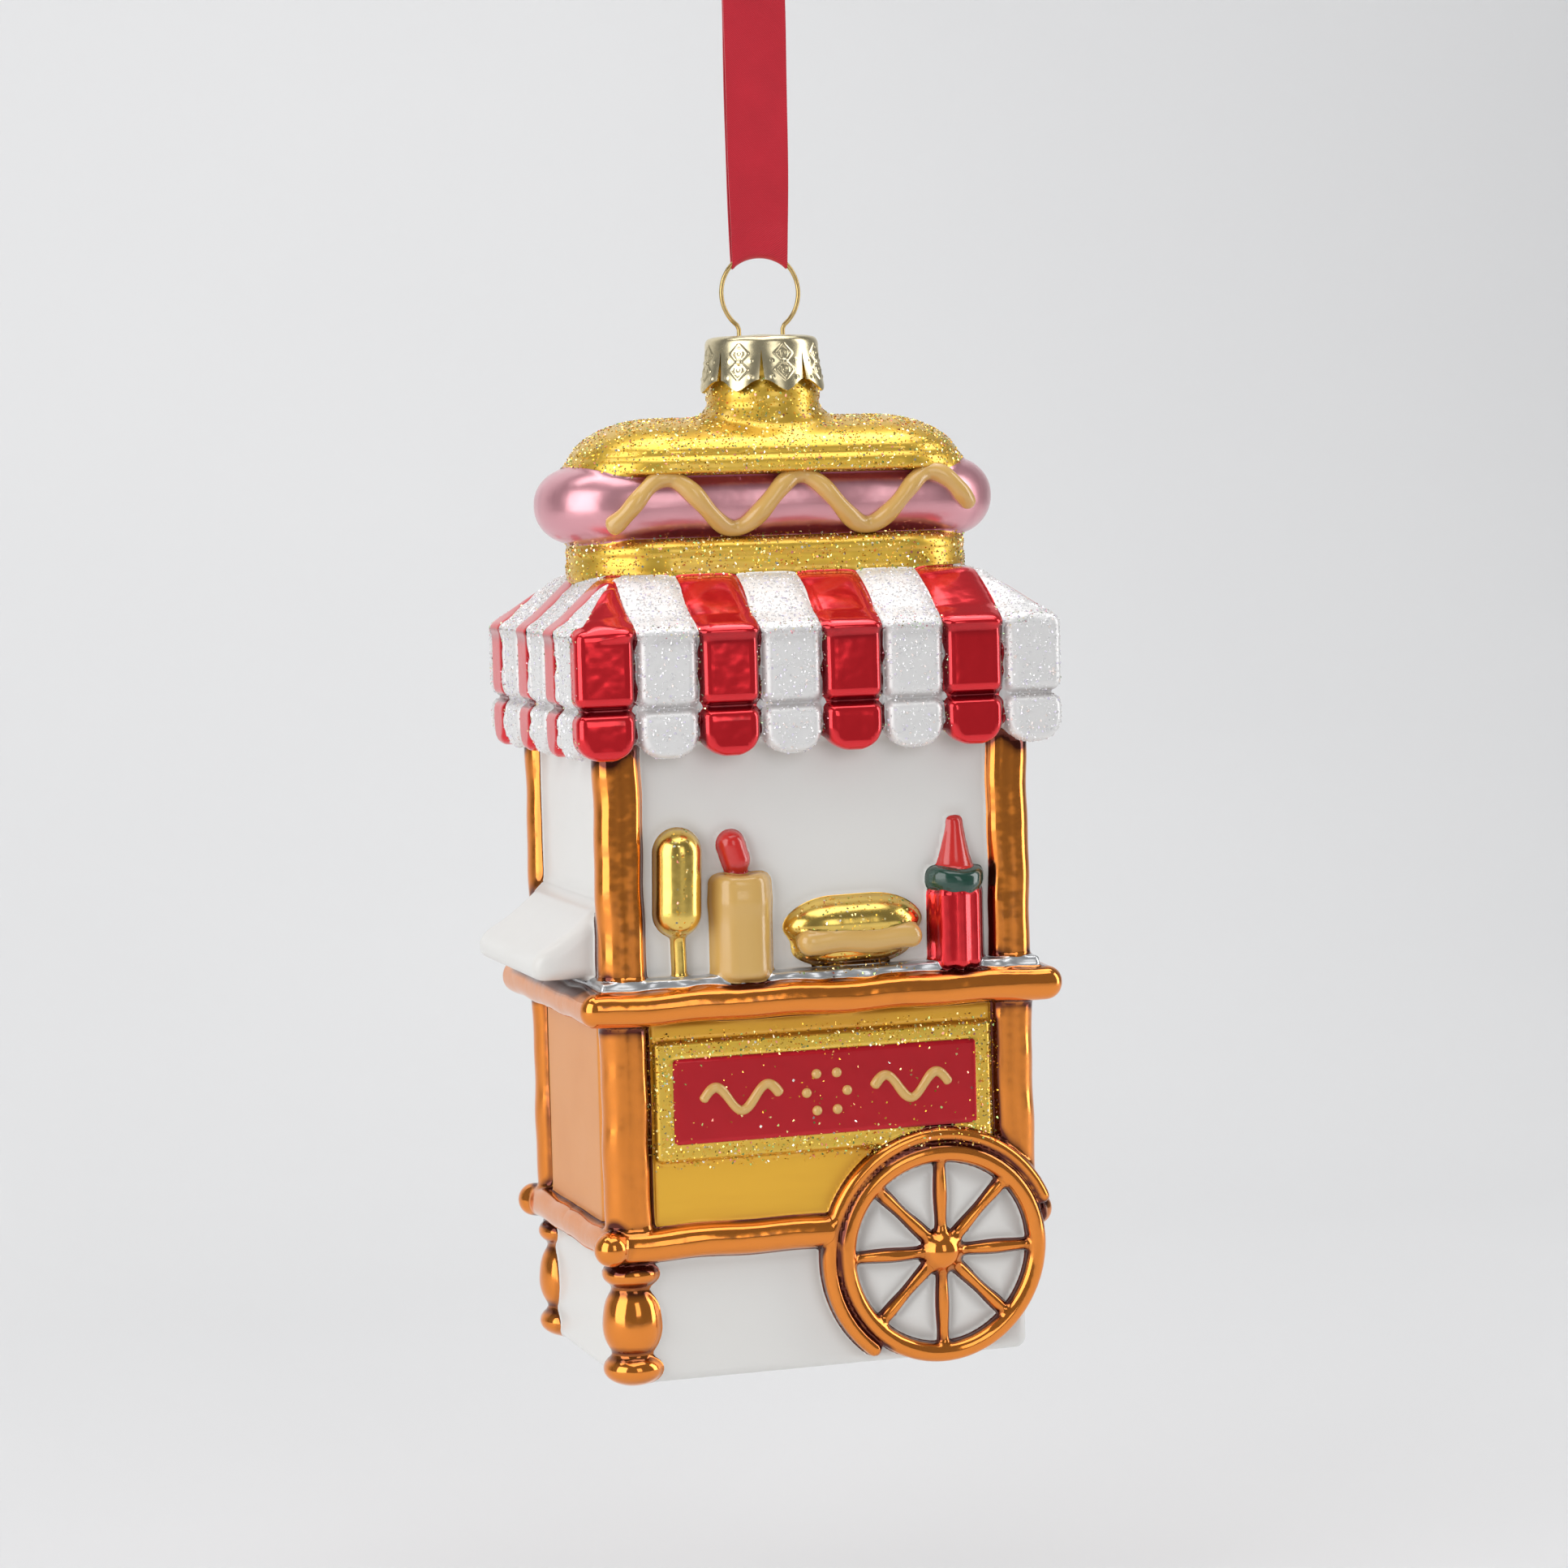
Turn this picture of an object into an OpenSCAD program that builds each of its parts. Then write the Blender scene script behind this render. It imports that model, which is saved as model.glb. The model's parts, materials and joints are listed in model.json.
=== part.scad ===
// Blown-glass tree ornament in the shape of a snack cart, hung from a satin ribbon.
// Millimetres, +Z up, front towards -Y. The origin is the hanging point, inside the
// ribbon loop just under its knot, so the whole ornament lies below it.

/* [Glass body] */
// Width over the corner posts
body_w = 55.4; // [46:0.2:67]
// Depth over the corner posts
body_d = 37; // [31:0.2:45]
// Thickness of the blown glass
wall = 1; // [0.8:0.05:1.3]
// How far posts and columns stand out from the flat walls
post_proud = 1.3; // [1:0.1:1.6]
// Radius of each corner post
post_r = 2.4; // [2:0.1:2.9]
// Radius of the slim column beside each corner post
column_r = 1.6; // [1.3:0.1:1.9]

/* [Heights] */
// Height of the white skirt at the bottom
skirt_h = 15.4; // [12.8:0.1:18.6]
// Height of the rounded rail above the skirt
lower_rail_h = 4; // [3.3:0.1:4.8]
// Height of the cabinet between its rails
cabinet_h = 24.8; // [20.6:0.1:30]
// Height of the rounded counter rail
counter_h = 4.2; // [3.5:0.1:5]
// Height of the white serving block
serving_h = 29.8; // [26:0.1:36]
// Height of the upright part of the awning
valance_h = 13.9; // [11.6:0.1:16.8]
// Height of the sloping roof of the awning
roof_h = 5.5; // [4.5:0.1:6.6]

/* [Rails and counter] */
// How far the lower rail stands out from the walls
lower_rail_out = 2.4; // [2:0.1:3]
// How far the counter rail stands out from the side walls
counter_out_side = 4.4; // [3.8:0.1:5.2]
// How far the counter rail stands out from the front and back walls
counter_out_front = 3.6; // [3:0.1:4.3]
// Thickness of the silver strip on the counter
strip_t = 1.2; // [1:0.1:1.4]
// Width of the silver strip, out from the wall
strip_out = 2.2; // [1.8:0.1:2.6]

/* [Awning] */
// How far the awning's raised stripes stand out past the corner posts
awning_out = 3.3; // [2.7:0.1:4]
// Thickness of a raised stripe
stripe_t = 1.6; // [1.3:0.1:1.9]
// Number of stripes along the front
front_stripes = 8; // [6:2:10]
// Number of stripes along a side
side_stripes = 6; // [4:2:8]
// Gap between neighbouring stripes
stripe_gap = 0.5; // [0.3:0.1:0.8]
// How far the scallops hang below the awning
scallop_drop = 2; // [1.6:0.1:2.4]

/* [Hot dog on the roof] */
// Length of the sausage
sausage_l = 58.8; // [52:0.2:70]
// Depth of the sausage, front to back
sausage_d = 21; // [19:0.2:24]
// Height of the sausage
sausage_h = 9.6; // [8:0.1:11.5]
// Length of both bun halves
bun_l = 51; // [46:0.2:58]
// Depth of both bun halves
bun_d = 22.6; // [20:0.2:24]
// Height of the lower bun half
bun_bottom_h = 3.9; // [3.3:0.1:4.7]
// Height of the domed upper bun half
bun_top_h = 5.7; // [4.8:0.1:6.8]
// Radius of the raised mustard line
mustard_r = 1.1; // [0.9:0.05:1.3]

/* [Wheels and legs] */
// Outer diameter of the moulded wheels
wheel_dia = 27.3; // [23:0.1:31]
// Thickness of the wheel's rim, across the tube
rim_t = 2.4; // [2:0.1:2.9]
// Number of spokes
spokes = 8; // [6:1:12]
// How far the wheel's centre stands in from the cart's right side
wheel_in = 13.2; // [11:0.1:15.9]
// Radius of the hub
hub_r = 2.7; // [2.2:0.1:3.2]
// Width of the moulded arch around the wheel
fender_t = 1.8; // [1.5:0.1:2.1]
// Largest radius of a turned leg
leg_r = 3.7; // [3.1:0.1:4.3]

/* [Cap and hanger] */
// Outer diameter of the glass neck
neck_dia = 14.3; // [13:0.1:16]
// Height of the neck above the bun
neck_h = 9.6; // [8.8:0.1:11.6]
// Thickness of the stamped cap
cap_t = 0.3; // [0.25:0.05:0.4]
// Height of the cap
cap_h = 7.3; // [6.4:0.1:8]
// Number of petals round the cap
petals = 8; // [6:1:10]
// Outer diameter of the hanger ring
ring_dia = 10.6; // [9.6:0.1:12.7]
// Thickness of the hanger wire
wire_t = 0.6; // [0.5:0.05:0.7]
// Length of the spring legs inside the neck
spring_l = 16; // [13:0.5:18]

/* [Ribbon] */
// Width of the ribbon
ribbon_w = 8; // [6.7:0.1:9.6]
// Thickness of the ribbon
ribbon_t = 0.3; // [0.25:0.05:0.4]
// Length of the loop, from the ring's top wire to the hanging point
ribbon_drop = 46; // [40:0.5:55]
// Radius of the knot
knot_r = 2.6; // [2.2:0.1:3.1]
// Length of the cut tails above the knot
tail_l = 9; // [7:0.5:11]

/* [Hidden] */
$fn = 48;

// Flat walls of the cart, inside the posts.
awning_w = body_w + 2 * awning_out;
awning_d = body_d + 2 * awning_out;
core_w = body_w - 2 * post_proud;
core_d = body_d - 2 * post_proud;
cavity_w = core_w - 2 * wall;
cavity_d = core_d - 2 * wall;

// Levels, counted up from the underside of the feet.
skirt_top = skirt_h;
rail_top = skirt_top + lower_rail_h;
cabinet_top = rail_top + cabinet_h;
counter_top = cabinet_top + counter_h;
strip_top = counter_top + strip_t;
serving_top = counter_top + serving_h;
awning_edge = serving_top + valance_h;
roof_top = awning_edge + roof_h;
bun_bottom_top = roof_top + bun_bottom_h;
sausage_mid = bun_bottom_top + sausage_h / 2;
sausage_top = bun_bottom_top + sausage_h;
bun_top_top = sausage_top + bun_top_h;
neck_top = bun_top_top + neck_h;

// Buns and sausage: straight middle with round ends.
sausage_r = sausage_d / 2;
sausage_s = sausage_l / 2 - sausage_r;
bun_r = bun_d / 2;
bun_s = bun_l / 2 - bun_r;
lower_bun_round = bun_bottom_h / 2;
bun_edge = 0.6;
passage_r = 7;
passage_s = 13;

// Cap, hanger and ribbon.
neck_r = neck_dia / 2;
lip_r = neck_r - 0.6;
bore_r = lip_r - 0.9;
shoulder_below = 0.6;
shoulder_h = 2.6;
cap_gap = 0.2;
cap_top = neck_top + cap_gap + cap_t;
cap_r = lip_r + cap_gap + cap_t;
cap_flare = 1.2;
notch_a = 7;
notch_h = 5.2;
slot_x = 2.85;
slot_clear = 0.15;
hanger_play = 1;
wire_r = wire_t / 2;
ring_r = ring_dia / 2 - wire_r;
ring_open_a = acos(slot_x / ring_r);
ring_z = cap_top + 1 + ring_r * sin(ring_open_a);
wire_top = ring_z + ring_r;
leg_clear = 0.15;
bend_swell = 0.03;
fold_r = wire_r + 0.2;
fold_w = 2.4;
hang_z = wire_top + ribbon_drop;
knot_gap = 0.3;
knot_z = hang_z + 1 + knot_r;
knot_half = ribbon_w / 2 - 2;
tail_lean = 22;

// Relief on the front and the back stands on this plane.
face = core_d / 2;
panel_t = 0.5;
sign_t = 0.9;
sign_h = 10.6;
sign_z = rail_top + 15.2;
border_w = 2;
column_x = core_w / 2 - 2.7;
panel_half = column_x - column_r - 0.4;
sign_w = 2 * (panel_half - border_w - 0.2);
wheel_x = body_w / 2 - wheel_in;
corner_in = post_r - post_proud;
shelf_reach = 9;
shelf_rise = 9.6;
shelf_half = core_d / 2 - 2.6;
shelf_round = 1.4;
wheel_r = wheel_dia / 2;
disc_out = 1.1;
spoke_r = 0.75;
fender_r = wheel_r + fender_t;
leg_out = 1.7;
overlap = 0.01;

// ---- Shared shapes -------------------------------------------------------------

// Shifts a shape from heights above the feet to the hanging point's frame.
module hung() translate([0, 0, -hang_z]) children();

// A shape and its mirror image on the back of the mould.
module both_faces() {
    children();
    mirror([0, 1, 0]) children();
}

module slab(w, d, z0, z1) translate([-w / 2, -d / 2, z0]) cube([w, d, z1 - z0]);

// Rounded nosing all round: w by d outside, h high, with plan corners of radius rc.
module nosing(w, d, z0, h, rc) {
    nose = h / 2;
    x = w / 2 - rc;
    y = d / 2 - rc;
    translate([0, 0, z0]) {
        for (sx = [-1, 1], sy = [-1, 1])
            translate([sx * x, sy * y, 0]) rotate_extrude() {
                square([rc - nose, h]);
                translate([rc - nose, nose]) intersection() {
                    circle(nose);
                    translate([-overlap, -nose]) square([nose + 1, h]);
                }
            }
        slab(2 * x, 2 * (d / 2 - nose), 0, h);
        slab(2 * (w / 2 - nose), 2 * y, 0, h);
        for (s = [-1, 1]) {
            translate([-x, s * (d / 2 - nose), nose]) rotate([0, 90, 0]) cylinder(h = 2 * x, r = nose);
            translate([s * (w / 2 - nose), -y, nose]) rotate([-90, 0, 0]) cylinder(h = 2 * y, r = nose);
        }
    }
}

// A loaf: the child is half of its cross-section, swept round both ends and
// along the straight middle, 2 * s long.
module loaf(s) {
    for (side = [-1, 1]) translate([side * s, 0, 0]) rotate_extrude() children();
    translate([-s, 0, 0]) rotate([90, 0, 90]) linear_extrude(2 * s) {
        children();
        mirror([1, 0]) children();
    }
}

// Half cross-section with its outer edge fully rounded.
module pill_section(r, z0, h, edge) {
    translate([0, z0]) {
        square([r - edge, h]);
        translate([0, edge]) square([r, h - 2 * edge]);
        for (z = [edge, h - edge]) translate([r - edge, z]) circle(edge);
    }
}

function unit(v) = v / norm(v);
function tangent(p, i) = unit(p[min(i + 1, len(p) - 1)] - p[max(i - 1, 0)]);
function ring_points(p, i, r, n) =
    let (t = tangent(p, i), side = unit(cross(t, [0, 1, 0])), out = cross(side, t))
    [for (k = [0 : n - 1]) p[i] + r * (cos(360 * k / n) * side + sin(360 * k / n) * out)];

// A bead of paint along the points p.
module bead(p, r, n = 8) {
    m = len(p);
    polyhedron(
        points = [for (i = [0 : m - 1]) each ring_points(p, i, r, n)],
        faces = concat(
            [[for (k = [0 : n - 1]) n - 1 - k]],
            [for (i = [0 : m - 2], k = [0 : n - 1])
                let (j = (k + 1) % n) [i * n + k, (i + 1) * n + j, (i + 1) * n + k]],
            [for (i = [0 : m - 2], k = [0 : n - 1])
                let (j = (k + 1) % n) [i * n + k, i * n + j, (i + 1) * n + j]],
            [[for (k = [0 : n - 1]) (m - 1) * n + k]]
        )
    );
}

// ---- The hollow inside, one space from the skirt to the neck ---------------------

module cart_cavity() slab(cavity_w, cavity_d, wall, serving_top + wall + overlap);

module awning_cavity() slab(awning_w - 2 * stripe_t - 2 * wall, awning_d - 2 * stripe_t - 2 * wall,
    serving_top + wall, awning_edge + overlap);

module roof_cavity() roof_shape(2 * wall, -wall);

// The way up through the roof, the lower bun and the sausage.
module passage() loaf(passage_s) translate([0, roof_top - 2 * wall])
    square([passage_r, sausage_top - roof_top + 3 * wall]);

module sausage_cavity() loaf(sausage_s) pill_section(sausage_r - wall, bun_bottom_top + wall,
    sausage_h - 2 * wall, sausage_h / 2 - wall - overlap);

module bun_top_cavity() loaf(passage_s) dome_section(passage_r + 2, bun_top_h - wall);

// Quarter ellipse standing on the sausage: r wide and h high, with a thin upright edge.
module dome_section(r, h)
    polygon([[0, sausage_top], [r, sausage_top],
        for (a = [0 : 6 : 90]) [r * cos(a), sausage_top + bun_edge + (h - bun_edge) * sin(a)]]);

module roof_shape(inset, drop) {
    w = awning_w - 2 * stripe_t - inset;
    d = awning_d - 2 * stripe_t - inset;
    hull() {
        slab(w, d, awning_edge + drop, awning_edge + drop + overlap);
        slab(bun_l - 3 - inset, bun_d + 2 - inset, roof_top + drop - overlap, roof_top + drop);
    }
}

// ---- Ribbon ------------------------------------------------------------------------

module ribbon_knot() color("#c1081f") translate([0, 0, knot_z]) {
    rotate([0, 90, 0]) cylinder(h = 2 * knot_half, r = knot_r, center = true);
    for (s = [-1, 1]) translate([s * knot_half, 0, 0]) sphere(knot_r);
}

module ribbon_tails() color("#c1081f") for (s = [-1, 1])
    translate([0, s * 0.6, knot_z]) rotate([-s * tail_lean, 0, 0])
        translate([-ribbon_w / 2, -ribbon_t / 2, knot_r + 0.1]) cube([ribbon_w, ribbon_t, tail_l]);

module ribbon_ply() {
    z0 = wire_top + wire_r;
    translate([-ribbon_w / 2, -fold_r - ribbon_t, z0])
        cube([ribbon_w, ribbon_t, knot_z - knot_r - knot_gap - z0]);
}

module ribbon_front() color("#d00c24") ribbon_ply();

module ribbon_back() color("#d00c24") mirror([0, 1, 0]) ribbon_ply();

// The fold that hangs on the ring: half a sleeve round the top of the wire.
module ribbon_fold() color("#b8081c") translate([0, 0, wire_top]) difference() {
    union() {
        rotate([0, 90, 0]) cylinder(h = fold_w, r = fold_r + ribbon_t, center = true);
        translate([-fold_w / 2, -fold_r - ribbon_t, 0]) cube([fold_w, 2 * (fold_r + ribbon_t), wire_r]);
    }
    rotate([0, 90, 0]) cylinder(h = fold_w + 1, r = fold_r, center = true);
    translate([-fold_w, -fold_r, 0]) cube([2 * fold_w, 2 * fold_r, 1]);
    translate([-fold_w, -2, wire_r]) cube([2 * fold_w, 4, 2]);
}

// ---- Hanger and cap ------------------------------------------------------------------

module wire_run(a, b) {
    d = b - a;
    translate(a) sphere(wire_r + bend_swell, $fn = 24);
    translate(a) rotate([0, acos(d[2] / norm(d)), atan2(d[1], d[0])])
        cylinder(h = norm(d), r = wire_r, $fn = 24);
}

module hanger_wire() {
    bend_z = cap_top - cap_t - hanger_play - 0.4;
    tip_z = cap_top - spring_l;
    tip_x = bore_r - leg_clear - wire_r;
    color("#b98a2c") {
        translate([0, 0, ring_z]) rotate([90, 0, 0]) difference() {
            rotate_extrude() translate([ring_r, 0]) circle(wire_r, $fn = 24);
            translate([0, 0, -1]) linear_extrude(2) polygon([[0, 0], [slot_x, -ring_r * sin(ring_open_a)],
                [slot_x, -2 * ring_r], [-slot_x, -2 * ring_r], [-slot_x, -ring_r * sin(ring_open_a)]]);
        }
        for (s = [-1, 1]) {
            top = [s * slot_x, 0, ring_z - ring_r * sin(ring_open_a)];
            bend = [s * slot_x, 0, bend_z];
            tip = [s * tip_x, 0, tip_z];
            wire_run(top, bend);
            wire_run(bend, tip);
            wire_run(tip, [s * (tip_x - 1), 0, tip_z - 1]);
            translate([s * (tip_x - 1), 0, tip_z - 1]) sphere(wire_r + bend_swell, $fn = 24);
        }
    }
}

module cap_profile() {
    z0 = cap_top - cap_h;
    knee = cap_top - 2.6;
    polygon([
        [0, cap_top - cap_t], [0, cap_top], [cap_r - 0.5, cap_top], [cap_r, cap_top - 0.5],
        [cap_r, knee], [cap_r + cap_flare, z0], [cap_r + cap_flare - cap_t, z0],
        [cap_r - cap_t, knee], [cap_r - cap_t, cap_top - cap_t - 0.2], [cap_r - cap_t - 0.2, cap_top - cap_t]
    ]);
}

module cap() color("#c9ad5e") difference() {
    rotate_extrude($fn = 96) cap_profile();
    for (k = [0 : petals - 1])
        rotate([0, 0, 360 / petals * (k + 0.5)]) translate([0, 0, cap_top - cap_h - 1])
            rotate([90, 0, 90]) linear_extrude(2 * cap_r)
                polygon([[-cap_r * sin(notch_a), 0], [cap_r * sin(notch_a), 0], [0, notch_h + 1]]);
    for (s = [-1, 1]) translate([s * slot_x, 0, cap_top - 2]) cylinder(h = 3, r = wire_r + slot_clear);
}

module neck_outside() {
    shoulder = cap_top - cap_h - shoulder_below;
    translate([0, 0, sausage_top + wall]) cylinder(h = shoulder - sausage_top - wall, r = neck_r);
    translate([0, 0, shoulder]) cylinder(h = shoulder_h, r1 = neck_r, r2 = lip_r);
    translate([0, 0, shoulder]) cylinder(h = neck_top - shoulder, r = lip_r);
}

module neck() color("#c79a22") difference() {
    neck_outside();
    translate([0, 0, sausage_top]) cylinder(h = neck_top, r = bore_r);
}

// ---- Hot dog on the roof --------------------------------------------------------------

module bun_top() color("#c4901d") difference() {
    loaf(bun_s) dome_section(bun_r, bun_top_h);
    neck_outside();
    bun_top_cavity();
}

module sausage_outside() loaf(sausage_s)
    pill_section(sausage_r, bun_bottom_top, sausage_h, sausage_h / 2 - overlap);

module sausage() color("#c9808c") difference() {
    sausage_outside();
    sausage_cavity();
    passage();
}

// Front surface of the sausage at x and at height dz from its middle.
function sausage_y(x, dz) =
    let (edge = sausage_h / 2, reach = sausage_r - edge + sqrt(edge * edge - dz * dz),
        past = max(0, abs(x) - sausage_s))
    -sqrt(reach * reach - past * past);

mustard_wave = 17.1;
mustard_swing = sausage_h * 0.33;
mustard_first_peak = -15.7;
function mustard_dz(x) = mustard_swing * cos(360 * (x - mustard_first_peak) / mustard_wave);

module mustard_line() bead([for (x = [-23 : 1 : 24])
    [x, sausage_y(x, mustard_dz(x)), sausage_mid + mustard_dz(x)]], mustard_r);

module mustard_line_front() color("#c9953a") mustard_line();

module mustard_line_back() color("#c9953a") mirror([0, 1, 0]) mustard_line();

module bun_bottom() color("#c4901d") difference() {
    loaf(bun_s) pill_section(bun_r, roof_top, bun_bottom_h, lower_bun_round - overlap);
    passage();
}

// ---- Awning -----------------------------------------------------------------------------

module awning_roof() color("#efe9e6") difference() {
    roof_shape(0, 0);
    roof_cavity();
    passage();
}

module awning_core() color("#efe9e6") difference() {
    slab(awning_w - 2 * stripe_t, awning_d - 2 * stripe_t, serving_top, awning_edge);
    cart_cavity();
    awning_cavity();
}

// One raised stripe on the plane y = -out, from its scalloped foot to the awning's edge.
module stripe(w, out) {
    foot = serving_top - scallop_drop;
    r = w / 2;
    difference() {
        translate([0, -out, 0]) rotate([90, 0, 0]) linear_extrude(stripe_t) {
            translate([-r, foot + r]) square([w, awning_edge - foot - r - 1]);
            translate([-r + 1, foot + r]) square([w - 2, awning_edge - foot - r]);
            for (s = [-1, 1]) translate([s * (r - 1), awning_edge - 1]) circle(1);
            translate([0, foot + r]) circle(r);
        }
        translate([0, -out - stripe_t, serving_top + 4]) rotate([0, 90, 0])
            cylinder(h = w + 1, r = 0.7, center = true);
    }
}

// Every second stripe of a side that is len long, starting with number first.
module stripes(len, count, out, first) {
    pitch = len / count;
    for (k = [first : 2 : count - 1])
        translate([(k + 0.5) * pitch - len / 2, 0, 0]) stripe(pitch - stripe_gap, out);
}

stripe_front = awning_d / 2 - stripe_t;
stripe_side = awning_w / 2 - stripe_t;
side_len = awning_d - 2 * stripe_t - 2 * stripe_gap;

module awning_front_red() color("#b3101f") stripes(awning_w, front_stripes, stripe_front, 0);

module awning_front_white() color("#eceae6") stripes(awning_w, front_stripes, stripe_front, 1);

module awning_back_red() color("#b3101f")
    rotate([0, 0, 180]) stripes(awning_w, front_stripes, stripe_front, 0);

module awning_back_white() color("#eceae6")
    rotate([0, 0, 180]) stripes(awning_w, front_stripes, stripe_front, 1);

module awning_left_red() color("#b3101f")
    rotate([0, 0, -90]) stripes(side_len, side_stripes, stripe_side, 0);

module awning_left_white() color("#eceae6")
    rotate([0, 0, -90]) stripes(side_len, side_stripes, stripe_side, 1);

module awning_right_red() color("#b3101f")
    rotate([0, 0, 90]) stripes(side_len, side_stripes, stripe_side, 0);

module awning_right_white() color("#eceae6")
    rotate([0, 0, 90]) stripes(side_len, side_stripes, stripe_side, 1);

// ---- Serving block and what stands on the counter -------------------------------------------

module core(z0, z1) slab(core_w, core_d, z0, z1);

module serving_block() color("#e6e2da") difference() {
    core(counter_top, serving_top);
    cart_cavity();
}

// A corner post and its slim column, at the corner (sx, sy), standing on the flat walls.
module post(sx, sy, z0, z1) difference() {
    union() {
        translate([sx * (core_w / 2 - corner_in), sy * (core_d / 2 - corner_in), z0])
            cylinder(h = z1 - z0, r = post_r);
        translate([sx * column_x, sy * (core_d / 2 - column_r + post_proud), z0])
            cylinder(h = z1 - z0, r = column_r);
    }
    core(z0 - 1, z1 + 1);
}

module serving_post_front_left() color("#a5551b") post(-1, -1, strip_top, serving_top);
module serving_post_front_right() color("#a5551b") post(1, -1, strip_top, serving_top);
module serving_post_back_left() color("#a5551b") post(-1, 1, strip_top, serving_top);
module serving_post_back_right() color("#a5551b") post(1, 1, strip_top, serving_top);

// Folding side shelf: flat underneath, sloping up to the wall, front to back along Y.
module side_shelf() color("#efece6") difference() {
    hull() for (p = [[shelf_reach - shelf_round, shelf_round], [shelf_reach - shelf_round, 2.6],
        [-shelf_round, shelf_rise - shelf_round], [-shelf_round, shelf_round]])
        translate([-core_w / 2 - p[0], 0, strip_top + p[1]]) rotate([90, 0, 0])
            cylinder(h = 2 * shelf_half, r = shelf_round, center = true);
    core(counter_top, serving_top);
    for (sy = [-1, 1]) post(-1, sy, strip_top - 1, serving_top);
}

module counter_strip() color("#a9adb0") difference() {
    slab(core_w + 2 * strip_out, core_d + 2 * strip_out, counter_top, strip_top);
    core(counter_top - 1, strip_top + 1);
}

module counter_rail() color("#b05e1e") difference() {
    nosing(core_w + 2 * counter_out_side, core_d + 2 * counter_out_front, cabinet_top, counter_h, 4);
    cart_cavity();
}

// Clips relief to the outside of the flat walls.
module on_wall() difference() {
    children();
    core(0, serving_top);
}

corn_x = -column_x + 5.7;
corn_r = 3;
corn_z = [strip_top + 4.8, strip_top + 18];
module corn_dog() translate([corn_x, -face - 0.2, 0]) {
    translate([0, 0, corn_z[0] + corn_r]) cylinder(h = corn_z[1] - corn_z[0] - 2 * corn_r, r = corn_r);
    for (z = [corn_z[0] + corn_r, corn_z[1] - corn_r]) translate([0, 0, z]) sphere(corn_r);
}

module corn_dogs() color("#b8851a") both_faces() on_wall() corn_dog();

module corn_dog_sticks() color("#c79b3c") both_faces() on_wall() difference() {
    translate([corn_x, -face - 0.2, strip_top]) cylinder(h = 6, r = 0.9);
    corn_dog();
}

bottle_x = corn_x + 8;
bottle_r = 4.4;
bottle_h = 12.1;
module mustard_bottles() color("#c99d3f") both_faces() on_wall()
    translate([bottle_x, -face + 1.2, strip_top]) {
        cylinder(h = bottle_h - 1.2, r = bottle_r);
        translate([0, 0, bottle_h - 1.2]) cylinder(h = 1.2, r1 = bottle_r, r2 = bottle_r - 1.2);
    }

module mustard_tips() color("#b3161c") both_faces() on_wall()
    translate([bottle_x - 0.8, -face - 0.2, strip_top + bottle_h]) {
        translate([0, 0, 0]) cylinder(h = 2, r1 = 1.1, r2 = 1.8);
        translate([0, 0, 2]) cylinder(h = 1.6, r = 1.8);
        translate([0, 0, 3.6]) sphere(1.8);
    }

sauce_x = column_x - 6.1;
bun_x = (bottle_x + sauce_x) / 2 + 0.4;
small_bun_r = 4.5;
small_bun_half = 9.5;
module small_bun() translate([bun_x, -face + 1.2, strip_top + small_bun_r]) {
    rotate([0, 90, 0]) cylinder(h = 2 * (small_bun_half - small_bun_r), r = small_bun_r, center = true);
    for (s = [-1, 1]) translate([s * (small_bun_half - small_bun_r), 0, 0]) sphere(small_bun_r);
}

module hot_dog_buns() color("#b98c22") both_faces() on_wall() small_bun();

filling_r = 1.7;
filling_half = 8;
module hot_dog_fillings() color("#c6933a") both_faces() on_wall() difference() {
    translate([bun_x + 0.4, -face - small_bun_r + 2.4, strip_top + 3.6]) {
        rotate([0, 90, 0]) cylinder(h = 2 * (filling_half - filling_r), r = filling_r, center = true);
        for (s = [-1, 1]) translate([s * (filling_half - filling_r), 0, 0]) sphere(filling_r);
    }
    small_bun();
}

sauce_r = 3.7;
sauce_h = 8.4;
collar_h = 3;
module sauce_bottles() color("#a10d1e") both_faces() on_wall()
    translate([sauce_x, -face + 0.6, strip_top]) cylinder(h = sauce_h, r = sauce_r);

module sauce_collars() color("#0e2a20") both_faces() on_wall()
    translate([sauce_x, -face + 0.6, strip_top + sauce_h]) cylinder(h = collar_h, r = sauce_r + 0.2);

module sauce_caps() color("#c2261d") both_faces() on_wall()
    translate([sauce_x, -face + 0.2, strip_top + sauce_h + collar_h]) {
        cylinder(h = 5.2, r1 = 2.7, r2 = 1.1);
        translate([0, 0, 5.2]) sphere(1.1);
    }

// ---- Cabinet --------------------------------------------------------------------------------

module cabinet_shell() color("#c98a2a") difference() {
    core(rail_top, cabinet_top);
    cart_cavity();
}

module cabinet_post_front_left() color("#a5551b") post(-1, -1, rail_top, cabinet_top);
module cabinet_post_front_right() color("#a5551b") difference() {
    post(1, -1, rail_top, cabinet_top);
    wheel_disc(fender_r, 3);
}
module cabinet_post_back_left() color("#a5551b") post(-1, 1, rail_top, cabinet_top);
module cabinet_post_back_right() color("#a5551b") mirror([0, 1, 0]) difference() {
    post(1, -1, rail_top, cabinet_top);
    wheel_disc(fender_r, 3);
}

module front_panels() color("#c9931f") both_faces() difference() {
    translate([-panel_half, -face - panel_t, rail_top + 0.2])
        cube([2 * panel_half, panel_t, cabinet_h - 0.4]);
    wheel_disc(fender_r, 3);
}

side_panel_half = core_d / 2 - 2 * post_r - 0.2;
module side_panels() color("#d27b28") for (s = [-1, 1])
    translate([s * (core_w + panel_t) / 2, 0, rail_top + cabinet_h / 2])
        cube([panel_t, 2 * side_panel_half, cabinet_h - 0.4], center = true);

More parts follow.
